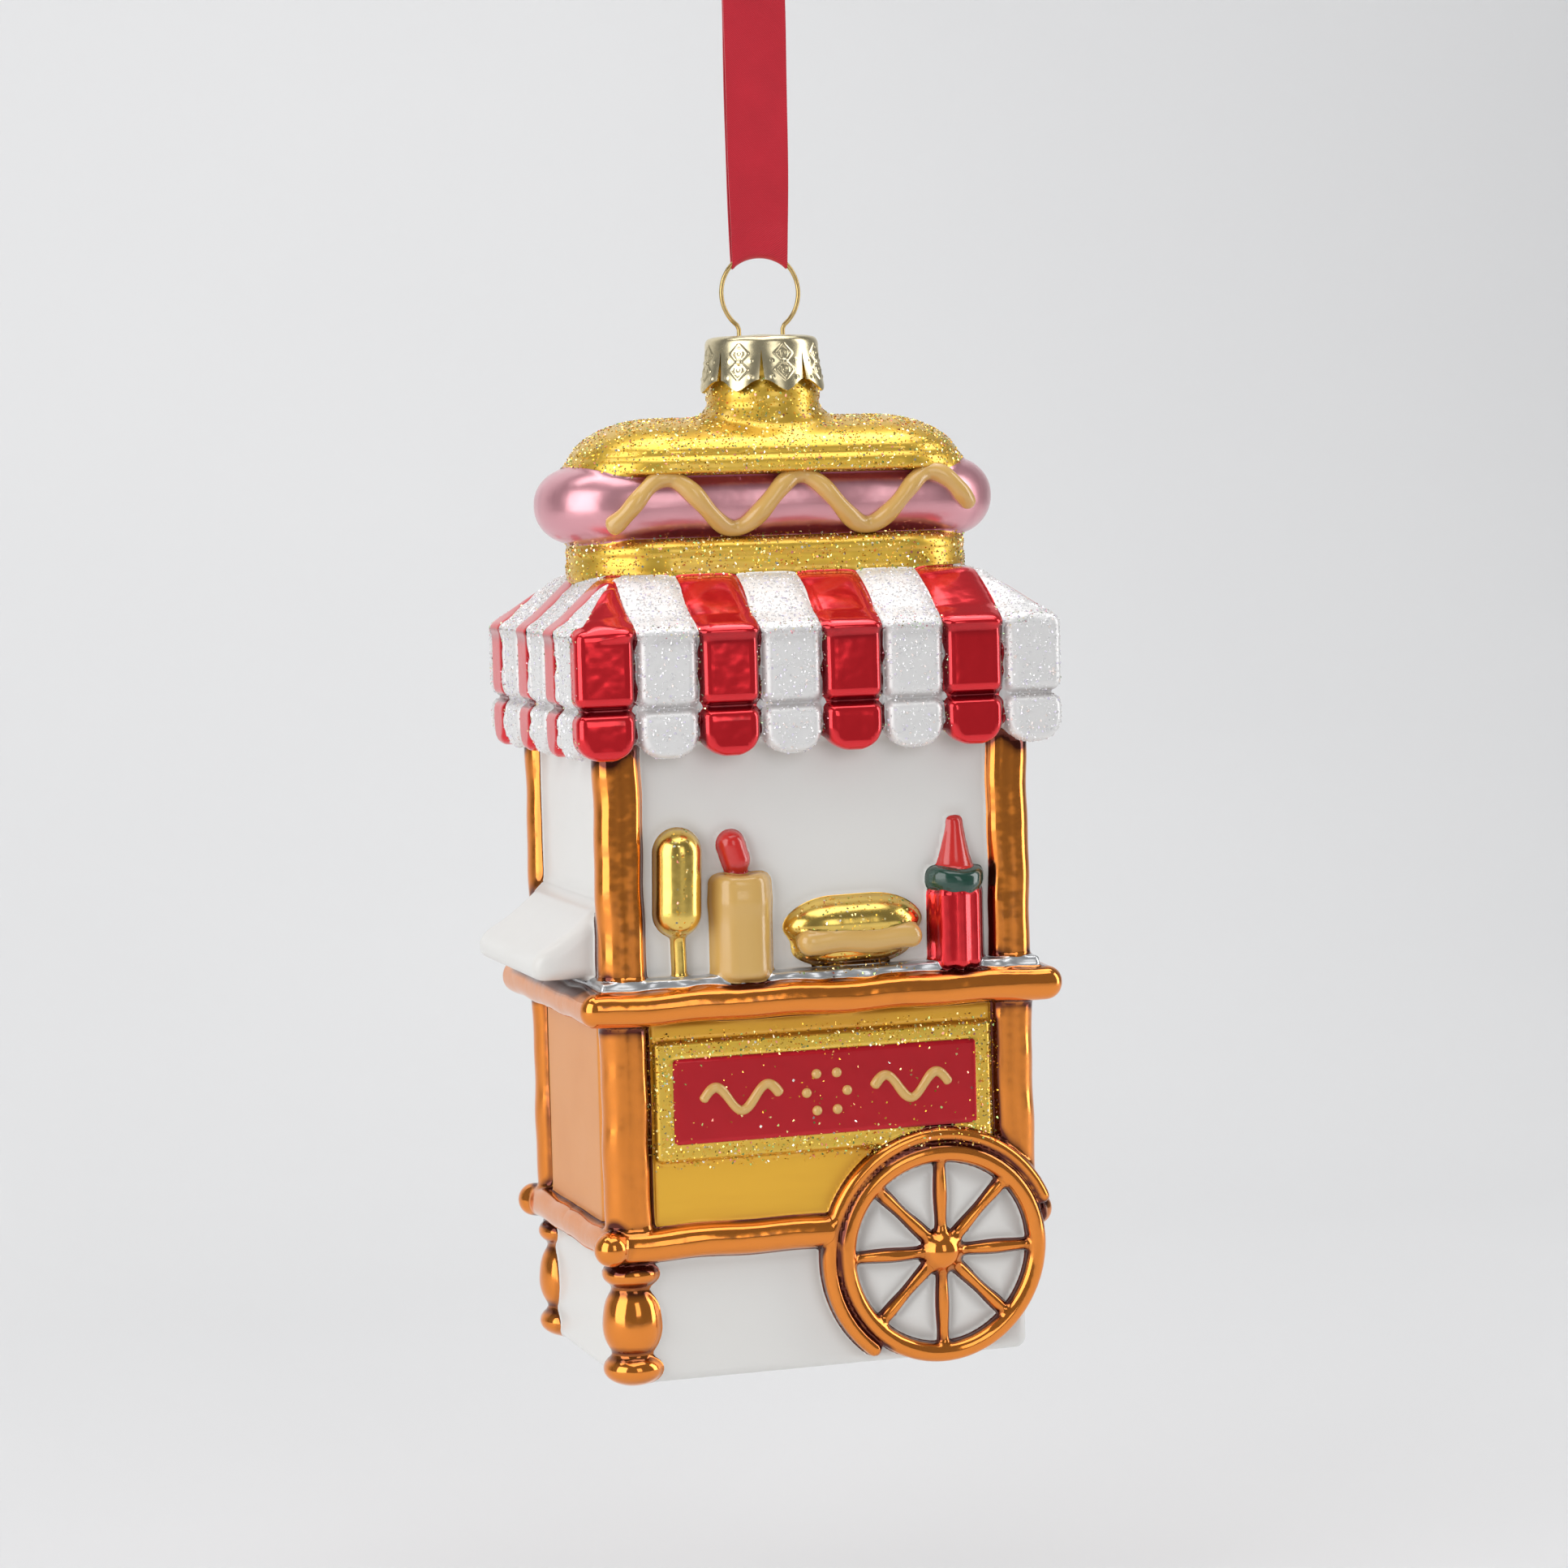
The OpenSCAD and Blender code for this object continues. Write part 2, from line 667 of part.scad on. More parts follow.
module sign_plate(grow, t) translate([-sign_w / 2 - grow, -face - panel_t - t, sign_z - sign_h / 2 - grow])
    cube([sign_w + 2 * grow, t, sign_h + 2 * grow]);

module sign_boards() color("#9c0f1c") both_faces() sign_plate(0, sign_t);

module sign_borders() color("#b79a2a") both_faces() difference() {
    sign_plate(border_w, sign_t - 0.2);
    sign_plate(0, sign_t + 1);
    wheel_disc(fender_r, 3);
}

// Piped ornament on the sign: two wavy garlands, one each side of a ring of dots.
motif_r = 0.5;
module motif_wave(x0, x1) bead([for (i = [0 : 24])
    [x0 + (x1 - x0) * i / 24, -face - panel_t - sign_t, sign_z + 1.6 * sin(22.5 * i)]], motif_r);

module sign_motifs() color("#c08f4e") both_faces() {
    motif_wave(-16, -5.5);
    motif_wave(16, 5.5);
    for (a = [0 : 60 : 359]) translate([2.6 * cos(a), -face - panel_t - sign_t, sign_z + 2.6 * sin(a)])
        sphere(0.8, $fn = 16);
}

// ---- Lower rail, wheels, legs and skirt -------------------------------------------------------

rail_w = core_w + 2 * lower_rail_out;
rail_d = core_d + 2 * lower_rail_out;
module lower_rail_outside() nosing(rail_w, rail_d, skirt_top, lower_rail_h, lower_rail_h / 2 + 0.2);

// Knobs at the rail's ends; those beside the wheels sit behind the wheel's face.
knob_r = lower_rail_h / 2 - 0.15;
module knob_balls() both_faces()
    for (p = [[-rail_w / 2 + 0.9, rail_d / 2 - 0.9], [rail_w / 2 - 0.4, face - knob_r - 0.1]])
        translate([p[0], p[1], skirt_top + lower_rail_h / 2]) sphere(knob_r);

module corner_knobs() color("#a5551b") knob_balls();

module lower_rail() color("#a5551b") difference() {
    lower_rail_outside();
    cart_cavity();
    both_faces() wheel_disc(fender_r, 6);
    knob_balls();
}

// A round plate on the front wall, centred on the wheel, out to `out` from the wall.
module wheel_disc(r, out) translate([wheel_x, -face, wheel_r]) rotate([90, 0, 0]) cylinder(h = out, r = r);

module at_wheel(out) translate([wheel_x, -face - out, wheel_r]) rotate([90, 0, 0]) children();

// The arch runs anticlockwise between these angles, and ends just above the ground.
fender_from = 20;
fender_to = 235;
module fenders() color("#8e3f14") both_faces() difference() {
    wheel_disc(fender_r, 2.2);
    wheel_disc(wheel_r, 4);
    at_wheel(-1) linear_extrude(5) polygon([[0, 0],
        for (a = [fender_to - 360 : (fender_from + 360 - fender_to) / 6 : fender_from + 1])
            2 * wheel_r * [cos(a), sin(a)]]);
}

module wheel_discs() color("#d9d4ca") both_faces() wheel_disc(wheel_r - rim_t, disc_out);

module wheel_rim() difference() {
    at_wheel(0) {
        cylinder(h = rim_t / 2, r = wheel_r);
        translate([0, 0, rim_t / 2]) rotate_extrude($fn = 96)
            translate([wheel_r - rim_t / 2, 0]) circle(rim_t / 2);
    }
    wheel_disc(wheel_r - rim_t, 9);
}

module wheel_rims() color("#a5551b") both_faces() wheel_rim();

module wheel_hubs() color("#a5551b") both_faces() at_wheel(disc_out) {
    cylinder(h = 1, r = hub_r);
    translate([0, 0, 1]) cylinder(h = 1, r1 = hub_r, r2 = hub_r - 0.9);
}

module wheel_spokes() color("#a5551b") both_faces() difference() {
    at_wheel(disc_out - 0.15) for (k = [0 : spokes - 1]) rotate([0, 0, 360 / spokes * k])
        translate([hub_r - 0.5, 0, 0]) rotate([0, 90, 0]) cylinder(h = wheel_r - rim_t - hub_r + 1, r = spoke_r);
    wheel_disc(wheel_r, disc_out);
    wheel_disc(hub_r, 9);
    wheel_rim();
}

// Turned leg: a bead, a vase and a ball foot, as [radius share, height share] from the ground.
leg_profile = [
    [0.55, 0], [0.85, 0.05], [0.95, 0.13], [0.85, 0.21], [0.66, 0.25], [0.72, 0.3],
    [0.94, 0.37], [1, 0.45], [0.92, 0.56], [0.78, 0.68], [0.66, 0.76], [0.7, 0.79],
    [0.9, 0.84], [0.96, 0.9], [0.84, 0.97], [0.8, 1]
];
module legs() color("#a5551b") both_faces() difference() {
    translate([-core_w / 2 + leg_r - leg_out, core_d / 2 - leg_r + leg_out, 0]) rotate_extrude()
        polygon([[0, 0], for (p = leg_profile) [leg_r * p[0], skirt_top * p[1]], [0, skirt_top]]);
    core(-1, serving_top);
}

module skirt() color("#dedad2") difference() {
    core(0, skirt_top);
    cart_cavity();
}

// ---- Assembly ---------------------------------------------------------------------------------

hung() {
    ribbon_knot();
    ribbon_tails();
    ribbon_front();
    ribbon_back();
    ribbon_fold();
    hanger_wire();
    cap();
    neck();
    bun_top();
    sausage();
    mustard_line_front();
    mustard_line_back();
    bun_bottom();
    awning_roof();
    awning_core();
    awning_front_red();
    awning_front_white();
    awning_back_red();
    awning_back_white();
    awning_left_red();
    awning_left_white();
    awning_right_red();
    awning_right_white();
    serving_block();
    serving_post_front_left();
    serving_post_front_right();
    serving_post_back_left();
    serving_post_back_right();
    side_shelf();
    counter_strip();
    counter_rail();
    corn_dogs();
    corn_dog_sticks();
    mustard_bottles();
    mustard_tips();
    hot_dog_buns();
    hot_dog_fillings();
    sauce_bottles();
    sauce_collars();
    sauce_caps();
    cabinet_shell();
    cabinet_post_front_left();
    cabinet_post_front_right();
    cabinet_post_back_left();
    cabinet_post_back_right();
    front_panels();
    side_panels();
    sign_boards();
    sign_borders();
    sign_motifs();
    lower_rail();
    corner_knobs();
    fenders();
    wheel_rims();
    wheel_spokes();
    wheel_hubs();
    wheel_discs();
    legs();
    skirt();
}
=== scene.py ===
# %% [markdown]
# # A blown glass cart on a satin ribbon
# The object is a mould-blown glass tree ornament: a snack cart with a striped awning and a
# hot dog on its roof. It is silvered inside, lacquered by hand outside, dusted with glitter,
# closed by a stamped cap, and hung from a folded ribbon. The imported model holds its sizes.
# This lesson gives it its looks, in the same frame, so nothing has to be fitted afterwards.

# %% Load the fixed frame
import json
import math
from functools import cache
import bmesh
import bpy
import numpy as np
from mathutils import Matrix, Vector
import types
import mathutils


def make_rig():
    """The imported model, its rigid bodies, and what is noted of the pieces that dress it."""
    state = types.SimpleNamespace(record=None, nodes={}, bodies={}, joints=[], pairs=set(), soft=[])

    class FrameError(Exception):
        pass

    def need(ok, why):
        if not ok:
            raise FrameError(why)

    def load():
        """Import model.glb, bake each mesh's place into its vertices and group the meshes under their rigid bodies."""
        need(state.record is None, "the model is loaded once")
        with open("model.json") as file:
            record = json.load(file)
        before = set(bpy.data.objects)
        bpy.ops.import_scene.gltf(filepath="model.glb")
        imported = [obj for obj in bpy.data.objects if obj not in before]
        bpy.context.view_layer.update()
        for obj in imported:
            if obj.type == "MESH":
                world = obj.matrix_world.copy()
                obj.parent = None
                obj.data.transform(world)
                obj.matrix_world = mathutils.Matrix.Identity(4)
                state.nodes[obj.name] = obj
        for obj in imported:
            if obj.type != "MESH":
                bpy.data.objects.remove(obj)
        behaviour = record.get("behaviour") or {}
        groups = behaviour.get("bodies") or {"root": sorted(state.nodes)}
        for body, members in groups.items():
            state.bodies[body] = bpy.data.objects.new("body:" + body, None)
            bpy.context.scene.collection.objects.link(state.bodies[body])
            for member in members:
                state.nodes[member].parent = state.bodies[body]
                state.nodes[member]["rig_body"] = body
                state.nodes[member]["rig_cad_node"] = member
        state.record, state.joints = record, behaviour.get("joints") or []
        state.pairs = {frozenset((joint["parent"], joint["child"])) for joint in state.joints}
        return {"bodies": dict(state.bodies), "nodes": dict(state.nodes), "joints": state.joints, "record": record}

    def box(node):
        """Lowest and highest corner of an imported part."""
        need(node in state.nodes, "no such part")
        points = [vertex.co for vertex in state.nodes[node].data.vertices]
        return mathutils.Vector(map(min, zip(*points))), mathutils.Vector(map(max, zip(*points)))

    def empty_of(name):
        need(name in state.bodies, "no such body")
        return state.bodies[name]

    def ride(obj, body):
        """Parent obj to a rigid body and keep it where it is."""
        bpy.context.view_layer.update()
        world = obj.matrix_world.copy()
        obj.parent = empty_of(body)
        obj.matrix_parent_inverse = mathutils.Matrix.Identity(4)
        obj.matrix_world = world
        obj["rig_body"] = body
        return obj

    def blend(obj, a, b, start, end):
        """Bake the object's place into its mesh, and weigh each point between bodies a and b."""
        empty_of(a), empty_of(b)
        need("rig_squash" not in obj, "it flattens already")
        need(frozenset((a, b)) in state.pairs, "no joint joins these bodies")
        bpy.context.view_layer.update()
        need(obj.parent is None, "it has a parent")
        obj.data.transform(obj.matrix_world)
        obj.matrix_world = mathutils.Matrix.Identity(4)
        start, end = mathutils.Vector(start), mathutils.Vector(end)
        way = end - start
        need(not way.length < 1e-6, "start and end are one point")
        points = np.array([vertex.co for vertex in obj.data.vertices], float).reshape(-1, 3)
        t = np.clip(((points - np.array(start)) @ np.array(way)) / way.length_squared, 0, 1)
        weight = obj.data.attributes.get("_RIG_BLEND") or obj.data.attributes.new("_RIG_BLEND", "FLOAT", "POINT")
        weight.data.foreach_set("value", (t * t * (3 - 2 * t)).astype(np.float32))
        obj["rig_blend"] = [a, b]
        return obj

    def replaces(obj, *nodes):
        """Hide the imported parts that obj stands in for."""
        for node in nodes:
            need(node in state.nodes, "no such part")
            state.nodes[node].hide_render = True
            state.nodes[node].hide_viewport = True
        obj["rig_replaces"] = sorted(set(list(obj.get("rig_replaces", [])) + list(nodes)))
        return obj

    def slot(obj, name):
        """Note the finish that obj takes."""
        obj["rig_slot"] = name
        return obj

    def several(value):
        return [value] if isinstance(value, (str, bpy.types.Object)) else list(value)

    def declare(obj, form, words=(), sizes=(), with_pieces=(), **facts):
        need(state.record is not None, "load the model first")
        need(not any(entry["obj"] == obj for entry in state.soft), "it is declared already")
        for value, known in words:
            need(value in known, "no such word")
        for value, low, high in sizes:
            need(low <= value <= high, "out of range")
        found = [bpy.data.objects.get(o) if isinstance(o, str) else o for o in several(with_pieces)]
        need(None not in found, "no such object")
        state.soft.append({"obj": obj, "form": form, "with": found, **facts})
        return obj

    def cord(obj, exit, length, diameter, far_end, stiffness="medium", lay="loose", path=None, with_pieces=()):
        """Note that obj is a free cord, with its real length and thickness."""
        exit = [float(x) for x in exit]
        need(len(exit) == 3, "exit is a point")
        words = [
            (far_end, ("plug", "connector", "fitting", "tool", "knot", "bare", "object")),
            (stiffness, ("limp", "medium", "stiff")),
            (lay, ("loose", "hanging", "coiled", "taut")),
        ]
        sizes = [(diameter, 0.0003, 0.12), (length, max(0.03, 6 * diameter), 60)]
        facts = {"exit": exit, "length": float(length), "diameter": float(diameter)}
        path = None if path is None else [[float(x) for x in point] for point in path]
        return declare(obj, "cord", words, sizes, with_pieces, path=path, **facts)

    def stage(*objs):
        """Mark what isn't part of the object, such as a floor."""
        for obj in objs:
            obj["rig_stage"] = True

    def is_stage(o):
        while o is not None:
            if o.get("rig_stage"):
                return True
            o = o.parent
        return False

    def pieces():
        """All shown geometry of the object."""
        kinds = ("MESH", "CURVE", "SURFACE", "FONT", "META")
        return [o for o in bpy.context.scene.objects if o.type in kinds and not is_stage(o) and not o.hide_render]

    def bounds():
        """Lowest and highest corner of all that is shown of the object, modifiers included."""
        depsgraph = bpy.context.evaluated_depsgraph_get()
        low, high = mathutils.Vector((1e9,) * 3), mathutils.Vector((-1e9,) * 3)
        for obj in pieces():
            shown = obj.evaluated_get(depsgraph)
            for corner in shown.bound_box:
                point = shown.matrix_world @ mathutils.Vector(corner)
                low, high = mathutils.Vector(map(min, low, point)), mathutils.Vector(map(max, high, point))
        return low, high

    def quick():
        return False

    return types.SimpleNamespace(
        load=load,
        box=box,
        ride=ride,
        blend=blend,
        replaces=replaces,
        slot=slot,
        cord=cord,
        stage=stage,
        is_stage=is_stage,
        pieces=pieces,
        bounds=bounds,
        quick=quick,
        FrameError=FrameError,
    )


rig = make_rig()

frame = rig.load()
cad_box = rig.bounds()
print("CAD box:", cad_box)

# %% [markdown]
# Everything is worked out in millimetres, with heights counted up from the cart's feet,
# because that is how a mould maker thinks of it. Meshes are turned into metres at the end.

# %% Millimetres above the feet
MM = 0.001
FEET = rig.box("skirt")[0].z / MM


@cache
def span(node):
    """Lowest and highest corner of a node, in millimetres, heights above the feet."""
    low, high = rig.box(node)
    lift = Vector((0, 0, FEET))
    return low / MM - lift, high / MM - lift


def metres(points):
    """Points in millimetres above the feet, as metres in the frame."""
    return (np.asarray(points, float) + (0, 0, FEET)) * MM


print("feet at", round(FEET, 3), "mm; cap's top at", round(span("cap")[1].z, 2), "mm above them")

# %% [markdown]
# The camera comes first. It looks from the cart's left, a little from above, through a long
# lens, and it leans by a degree and a half, as a hand-held camera does.

# %% Camera
AIM = Vector((1.52, 0, 70.78 + FEET)) * MM
DISTANCE = 0.5089
AZIMUTH = math.radians(-17.86)
ELEVATION = math.radians(4.58)
ROLL = math.radians(-1.46)

back = Vector((
    math.sin(AZIMUTH) * math.cos(ELEVATION),
    -math.cos(AZIMUTH) * math.cos(ELEVATION),
    math.sin(ELEVATION),
))
level_right = Vector((math.cos(AZIMUTH), math.sin(AZIMUTH), 0))
level_up = back.cross(level_right)
right = math.cos(ROLL) * level_right + math.sin(ROLL) * level_up
up = math.cos(ROLL) * level_up - math.sin(ROLL) * level_right
camera = bpy.data.objects.new("camera", bpy.data.cameras.new("camera"))
bpy.context.scene.collection.objects.link(camera)
camera.data.lens = 93.17
camera.data.sensor_width = 36
camera.data.clip_start = 0.01
facing = Matrix((right, up, back)).transposed().to_4x4()
camera.matrix_world = Matrix.Translation(AIM + back * DISTANCE) @ facing
bpy.context.scene.camera = camera
print("camera at", camera.location)

# %% [markdown]
# Every piece that isn't blown glass starts as a grid of points: a row for each step along,
# a column for each step across. This helper gives such a sheet its thickness and closes its
# four edges, so that it is a solid. Its UV map is in centimetres, for the weave.

# %% Sheets with a thickness
def new_object(name, points, faces, uv=None, smooth=True):
    """A mesh object at the origin; points are in millimetres above the feet."""
    mesh = bpy.data.meshes.new(name)
    mesh.from_pydata(metres(points).tolist(), [], [list(map(int, f)) for f in faces])
    if smooth:
        mesh.polygons.foreach_set("use_smooth", [True] * len(mesh.polygons))
    if uv is not None:
        layer = mesh.uv_layers.new(name="Cloth")
        loops = np.zeros(len(mesh.loops), np.int32)
        mesh.loops.foreach_get("vertex_index", loops)
        layer.data.foreach_set("uv", np.asarray(uv, np.float32)[loops].ravel())
    obj = bpy.data.objects.new(name, mesh)
    bpy.context.scene.collection.objects.link(obj)
    return obj


def grid_normals(points):
    """Unit normals of a grid of points, rows by columns."""
    along = np.gradient(points, axis=0)
    across = np.gradient(points, axis=1)
    normal = np.cross(across, along)
    return normal / np.maximum(np.linalg.norm(normal, axis=2, keepdims=True), 1e-9)


def grid_faces(rows, columns, first=0, flip=False):
    """Quads of a grid whose corner has the index first."""
    at = first + np.arange(rows * columns).reshape(rows, columns)
    quads = np.stack([at[:-1, :-1], at[:-1, 1:], at[1:, 1:], at[1:, :-1]], axis=2).reshape(-1, 4)
    return quads[:, ::-1] if flip else quads


def solid_sheet(name, middle, thickness, uv_scale=0.1):
    """A closed solid around a grid of middle points, thickness given at each point."""
    rows, columns = middle.shape[:2]
    half = grid_normals(middle) * (np.broadcast_to(thickness, (rows, columns)) / 2)[:, :, None]
    points = np.concatenate([(middle + half).reshape(-1, 3), (middle - half).reshape(-1, 3)])
    count = rows * columns
    at = np.arange(count).reshape(rows, columns)
    rim = np.concatenate([at[0, :], at[1:, -1], at[-1, -2::-1], at[-2:0:-1, 0]])
    following = np.roll(rim, -1)
    walls = np.stack([rim, rim + count, following + count, following], axis=1)
    faces = [*grid_faces(rows, columns), *grid_faces(rows, columns, count, flip=True), *walls]
    across = np.cumsum(np.r_[0, np.linalg.norm(np.diff(middle[rows // 2], axis=0), axis=1)])
    along = np.cumsum(np.r_[0, np.linalg.norm(np.diff(middle[:, columns // 2], axis=0), axis=1)])
    uv = np.stack(np.meshgrid(across * uv_scale, along * uv_scale), axis=2).reshape(-1, 2)
    obj = new_object(name, points, faces, np.concatenate([uv, uv]))
    bpy.context.view_layer.objects.active = obj
    mend_normals(obj)
    return obj


def mend_normals(obj):
    """Turns every face outwards."""
    work = bmesh.new()
    work.from_mesh(obj.data)
    bmesh.ops.recalc_face_normals(work, faces=work.faces)
    work.to_mesh(obj.data)
    work.free()
    obj.data.set_sharp_from_angle(angle=math.radians(50))


print("sheet helper ready")

# %% [markdown]
# The ribbon carries the ornament, so it comes next. It is one length of red satin, folded
# over the ring and knotted out of sight. Cloth simulation would only find what a loaded
# ribbon shows anyway, two taut runs, so they are modelled: cupped a little where the ring
# squeezes them, with thicker woven edges. Each run is a cord of its real length, and its
# centre line is the route below.

# %% The two runs of the ribbon
RIBBON_WIDTH = 8
RIBBON_THICK = span("ribbon_front")[1].y - span("ribbon_front")[0].y
RUN_Y = -(span("ribbon_front")[0].y + span("ribbon_front")[1].y) / 2
WIRE_TOP = span("ribbon_front")[0].z - 0.3
RUN_BOTTOM = WIRE_TOP + 3.7
ROUTE_Z = [-42.3, -39, -36, -33, -30, -26, -22, -18, -14, -10, -6, -2, 1, 3.6, 6.2]


def ribbon_half_width(z):
    """Half the width seen from the front: the ring pinches the ribbon at the bottom."""
    return RIBBON_WIDTH / 2 - 0.42 * np.exp(-(z - WIRE_TOP) / 9)


def ribbon_rows(z, side, columns=41):
    """One row of points across the ribbon at each height, cupped towards the other run."""
    u = np.linspace(-1, 1, columns)
    z, u = np.meshgrid(z, u, indexing="ij")
    pinch = np.exp(-(z - WIRE_TOP) / 9)
    x = ribbon_half_width(z) * u + 0.25 * (side > 0) * np.clip((z - WIRE_TOP) / 30, 0, 1)
    away = RUN_Y - 0.38 * pinch * u ** 2 + 0.06 * np.sin(0.34 * z + 2 * u)
    meet = np.clip((z - WIRE_TOP - 41) / 7, 0, 1)
    return np.stack([x * (1 - 0.45 * meet), side * away * (1 - 0.5 * meet), z], axis=2)


def selvedge(rows, columns=41):
    """Thickness across the ribbon: a thin cloth with a thicker woven edge."""
    u = np.abs(np.linspace(-1, 1, columns))
    return np.tile(RIBBON_THICK * (0.75 + 0.4 * np.exp(-((u - 0.95) / 0.05) ** 2)), (rows, 1))


runs = {}
for name, side in (("ribbon_front", -1), ("ribbon_back", 1)):
    heights = np.linspace(ROUTE_Z[0] - FEET, ROUTE_Z[-1] - FEET, 120)
    runs[name] = solid_sheet(name + "_satin", ribbon_rows(heights, side), selvedge(len(heights)))
print("ribbon runs", [len(r.data.polygons) for r in runs.values()], "faces")

# %% [markdown]
# The fold passes under the ring's top wire and follows its arc, so its two sides hang lower
# than its middle. It bends with the wire when the ornament swings: the next cells tie it to
# both bodies.

# %% The fold on the ring
RING_R = 5
FOLD_R = RUN_Y


def fold_rows():
    """The ribbon's path from the front run, under the wire, to the back run."""
    straight = np.linspace(RUN_BOTTOM - WIRE_TOP, 0, 14)
    turn = np.radians(np.linspace(0, 180, 15))[1:-1]
    y = np.concatenate([np.full(14, -1.0), -np.cos(turn), np.full(14, 1.0)])
    z = np.concatenate([straight, -FOLD_R * np.sin(turn), straight[::-1]])
    rows = []
    for side_y, height in zip(y, z):
        above = max(height, 0)
        row = ribbon_rows(np.array([WIRE_TOP + above]), math.copysign(1, side_y))[0]
        sag = (RING_R - np.sqrt(RING_R ** 2 - row[:, 0] ** 2)) * 0.9 * (1 - above / 3.7) ** 1.5
        row[:, 1] = row[:, 1] * abs(side_y)
        row[:, 2] = WIRE_TOP + height - sag
        rows.append(row)
    return np.array(rows)


fold_grid = fold_rows()
fold = solid_sheet("ribbon_fold_satin", fold_grid, selvedge(len(fold_grid)) * 0.95)
print("fold reaches down to", round(fold_grid[:, :, 2].min(), 2), "mm")

# %% [markdown]
# The knot is a tight wrap of the same satin, its creases running round it, with two cut
# tails. It hangs high above the cart, but the ornament can be seen from all sides.

# %% Knot and tails
KNOT_LOW, KNOT_HIGH = span("ribbon_knot")
KNOT_Z = (KNOT_LOW.z + KNOT_HIGH.z) / 2
KNOT_R = (KNOT_HIGH.z - KNOT_LOW.z) / 2


def knot_grid(rows=72, columns=60):
    """A capsule along X with soft creases that wind round it."""
    turn = np.linspace(0, 2 * np.pi, rows, endpoint=False)
    u = np.linspace(-1, 1, columns)
    turn, u = np.meshgrid(turn, u, indexing="ij")
    crease = 0.16 * np.sin(7 * u + 1.5 * np.sin(turn)) + 0.07 * np.sin(3 * turn + 11 * u)
    r = (KNOT_R - 0.25 + crease) * np.sqrt(np.maximum(1 - np.abs(u) ** 4, 0))
    bend = 0.35 * np.cos(2 * turn) * (1 - u ** 2)
    x = 0.98 * KNOT_HIGH.x * u
    return np.stack([x, (r - bend * 0.6) * np.sin(turn), KNOT_Z + r * np.cos(turn)], axis=2)


grid = knot_grid()
knot_rows, knot_columns = grid.shape[:2]
at = np.arange(knot_rows * knot_columns).reshape(knot_rows, knot_columns)
ring = np.concatenate([at, at[:1]])
knot_faces = np.stack([ring[:-1, :-1], ring[:-1, 1:], ring[1:, 1:], ring[1:, :-1]], axis=2).reshape(-1, 4)
knot_uv = np.stack(np.meshgrid(np.linspace(0, 0.8, knot_columns), np.linspace(0, 1.6, knot_rows)), axis=2)
knot = new_object("ribbon_knot_satin", grid.reshape(-1, 3), knot_faces, knot_uv.reshape(-1, 2))
work = bmesh.new()
work.from_mesh(knot.data)
bmesh.ops.remove_doubles(work, verts=work.verts, dist=1e-6)
bmesh.ops.recalc_face_normals(work, faces=work.faces)
work.to_mesh(knot.data)
work.free()

tail_grids = []
TAIL_LENGTH = span("ribbon_tails")[1].z - KNOT_Z - KNOT_R + 1.2
for side in (-1, 1):
    s, u = np.meshgrid(np.linspace(0, 1, 40), np.linspace(-1, 1, 31), indexing="ij")
    lean = np.radians(10 + 20 * s)
    cut = 1 - 0.16 * (side * u * 0.5 + 0.5)
    reach = s * cut * TAIL_LENGTH
    y = side * (0.5 + reach * np.sin(lean))
    z = KNOT_Z + KNOT_R - 0.9 + reach * np.cos(lean) * 0.98
    width = RIBBON_WIDTH / 2 * (0.62 + 0.38 * np.minimum(s * 3, 1))
    tail_grids.append(np.stack([width * u, y + 0.25 * np.sin(3 * u + 4 * s), z], axis=2))
tails = [solid_sheet(f"ribbon_tail_{i}", g, selvedge(40, 31) * 0.9) for i, g in enumerate(tail_grids)]
print("knot", len(knot.data.polygons), "faces; tails", TAIL_LENGTH, "mm")

# %% [markdown]
# Each ribbon piece now takes its body. The fold goes from the wire's body to the ribbon's
# over three millimetres, and each run turns from the ribbon's body to the knot's along its
# whole length, so that it twists as satin does. The declared cords are the two runs.

# %% Ribbon pieces on their bodies
def route(side):
    """The centre line of one run, in metres."""
    return [(0, side * RUN_Y * MM, z * MM) for z in ROUTE_Z]


RUN_LENGTH = (ROUTE_Z[-1] - ROUTE_Z[0]) * MM
for name, side in (("ribbon_front", -1), ("ribbon_back", 1)):
    run = runs[name]
    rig.blend(run, "ribbon", "knot", start=(0, 0, ROUTE_Z[0] * MM), end=(0, 0, -0.001))
    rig.replaces(run, name)
    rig.slot(run, "ribbon_satin")
    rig.cord(run, exit=route(side)[0], length=RUN_LENGTH, diameter=RIBBON_WIDTH * MM, far_end="knot",
            stiffness="limp", lay="hanging", path=route(side), with_pieces=[knot])
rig.blend(fold, "hanger", "ribbon", start=(0, 0, (WIRE_TOP + 0.2 + FEET) * MM),
         end=(0, 0, (WIRE_TOP + 3.4 + FEET) * MM))
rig.replaces(fold, "ribbon_fold")
for piece, node in [(knot, "ribbon_knot"), *((t, "ribbon_tails") for t in tails)]:
    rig.ride(piece, "knot")
    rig.replaces(piece, node)
for piece in (fold, knot, *tails):
    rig.slot(piece, "ribbon_satin")
print("each run is", round(RUN_LENGTH / MM, 1), "mm long")
# %% [markdown]
# The glass is one blown shell. A mould maker carves soft shapes that run into each other, so
# each moulding here is a distance: how far a point lies outside that shape. Distances are
# joined with a small round fillet, and the glass surface is where the joined distance is
# nought. It is the same front and back, so y is folded to the front before measuring.

# %% Distances to simple shapes
def fillet_union(a, b, radius):
    """The nearer of two distances, with a round fillet where they are nearly equal."""
    share = np.clip(0.5 + 0.5 * (b - a) / radius, 0, 1)
    return b + (a - b) * share - radius * share * (1 - share)


def fillet_cut(a, b, radius):
    """What lies inside both shapes, with its edge rounded."""
    return -fillet_union(-a, -b, radius)


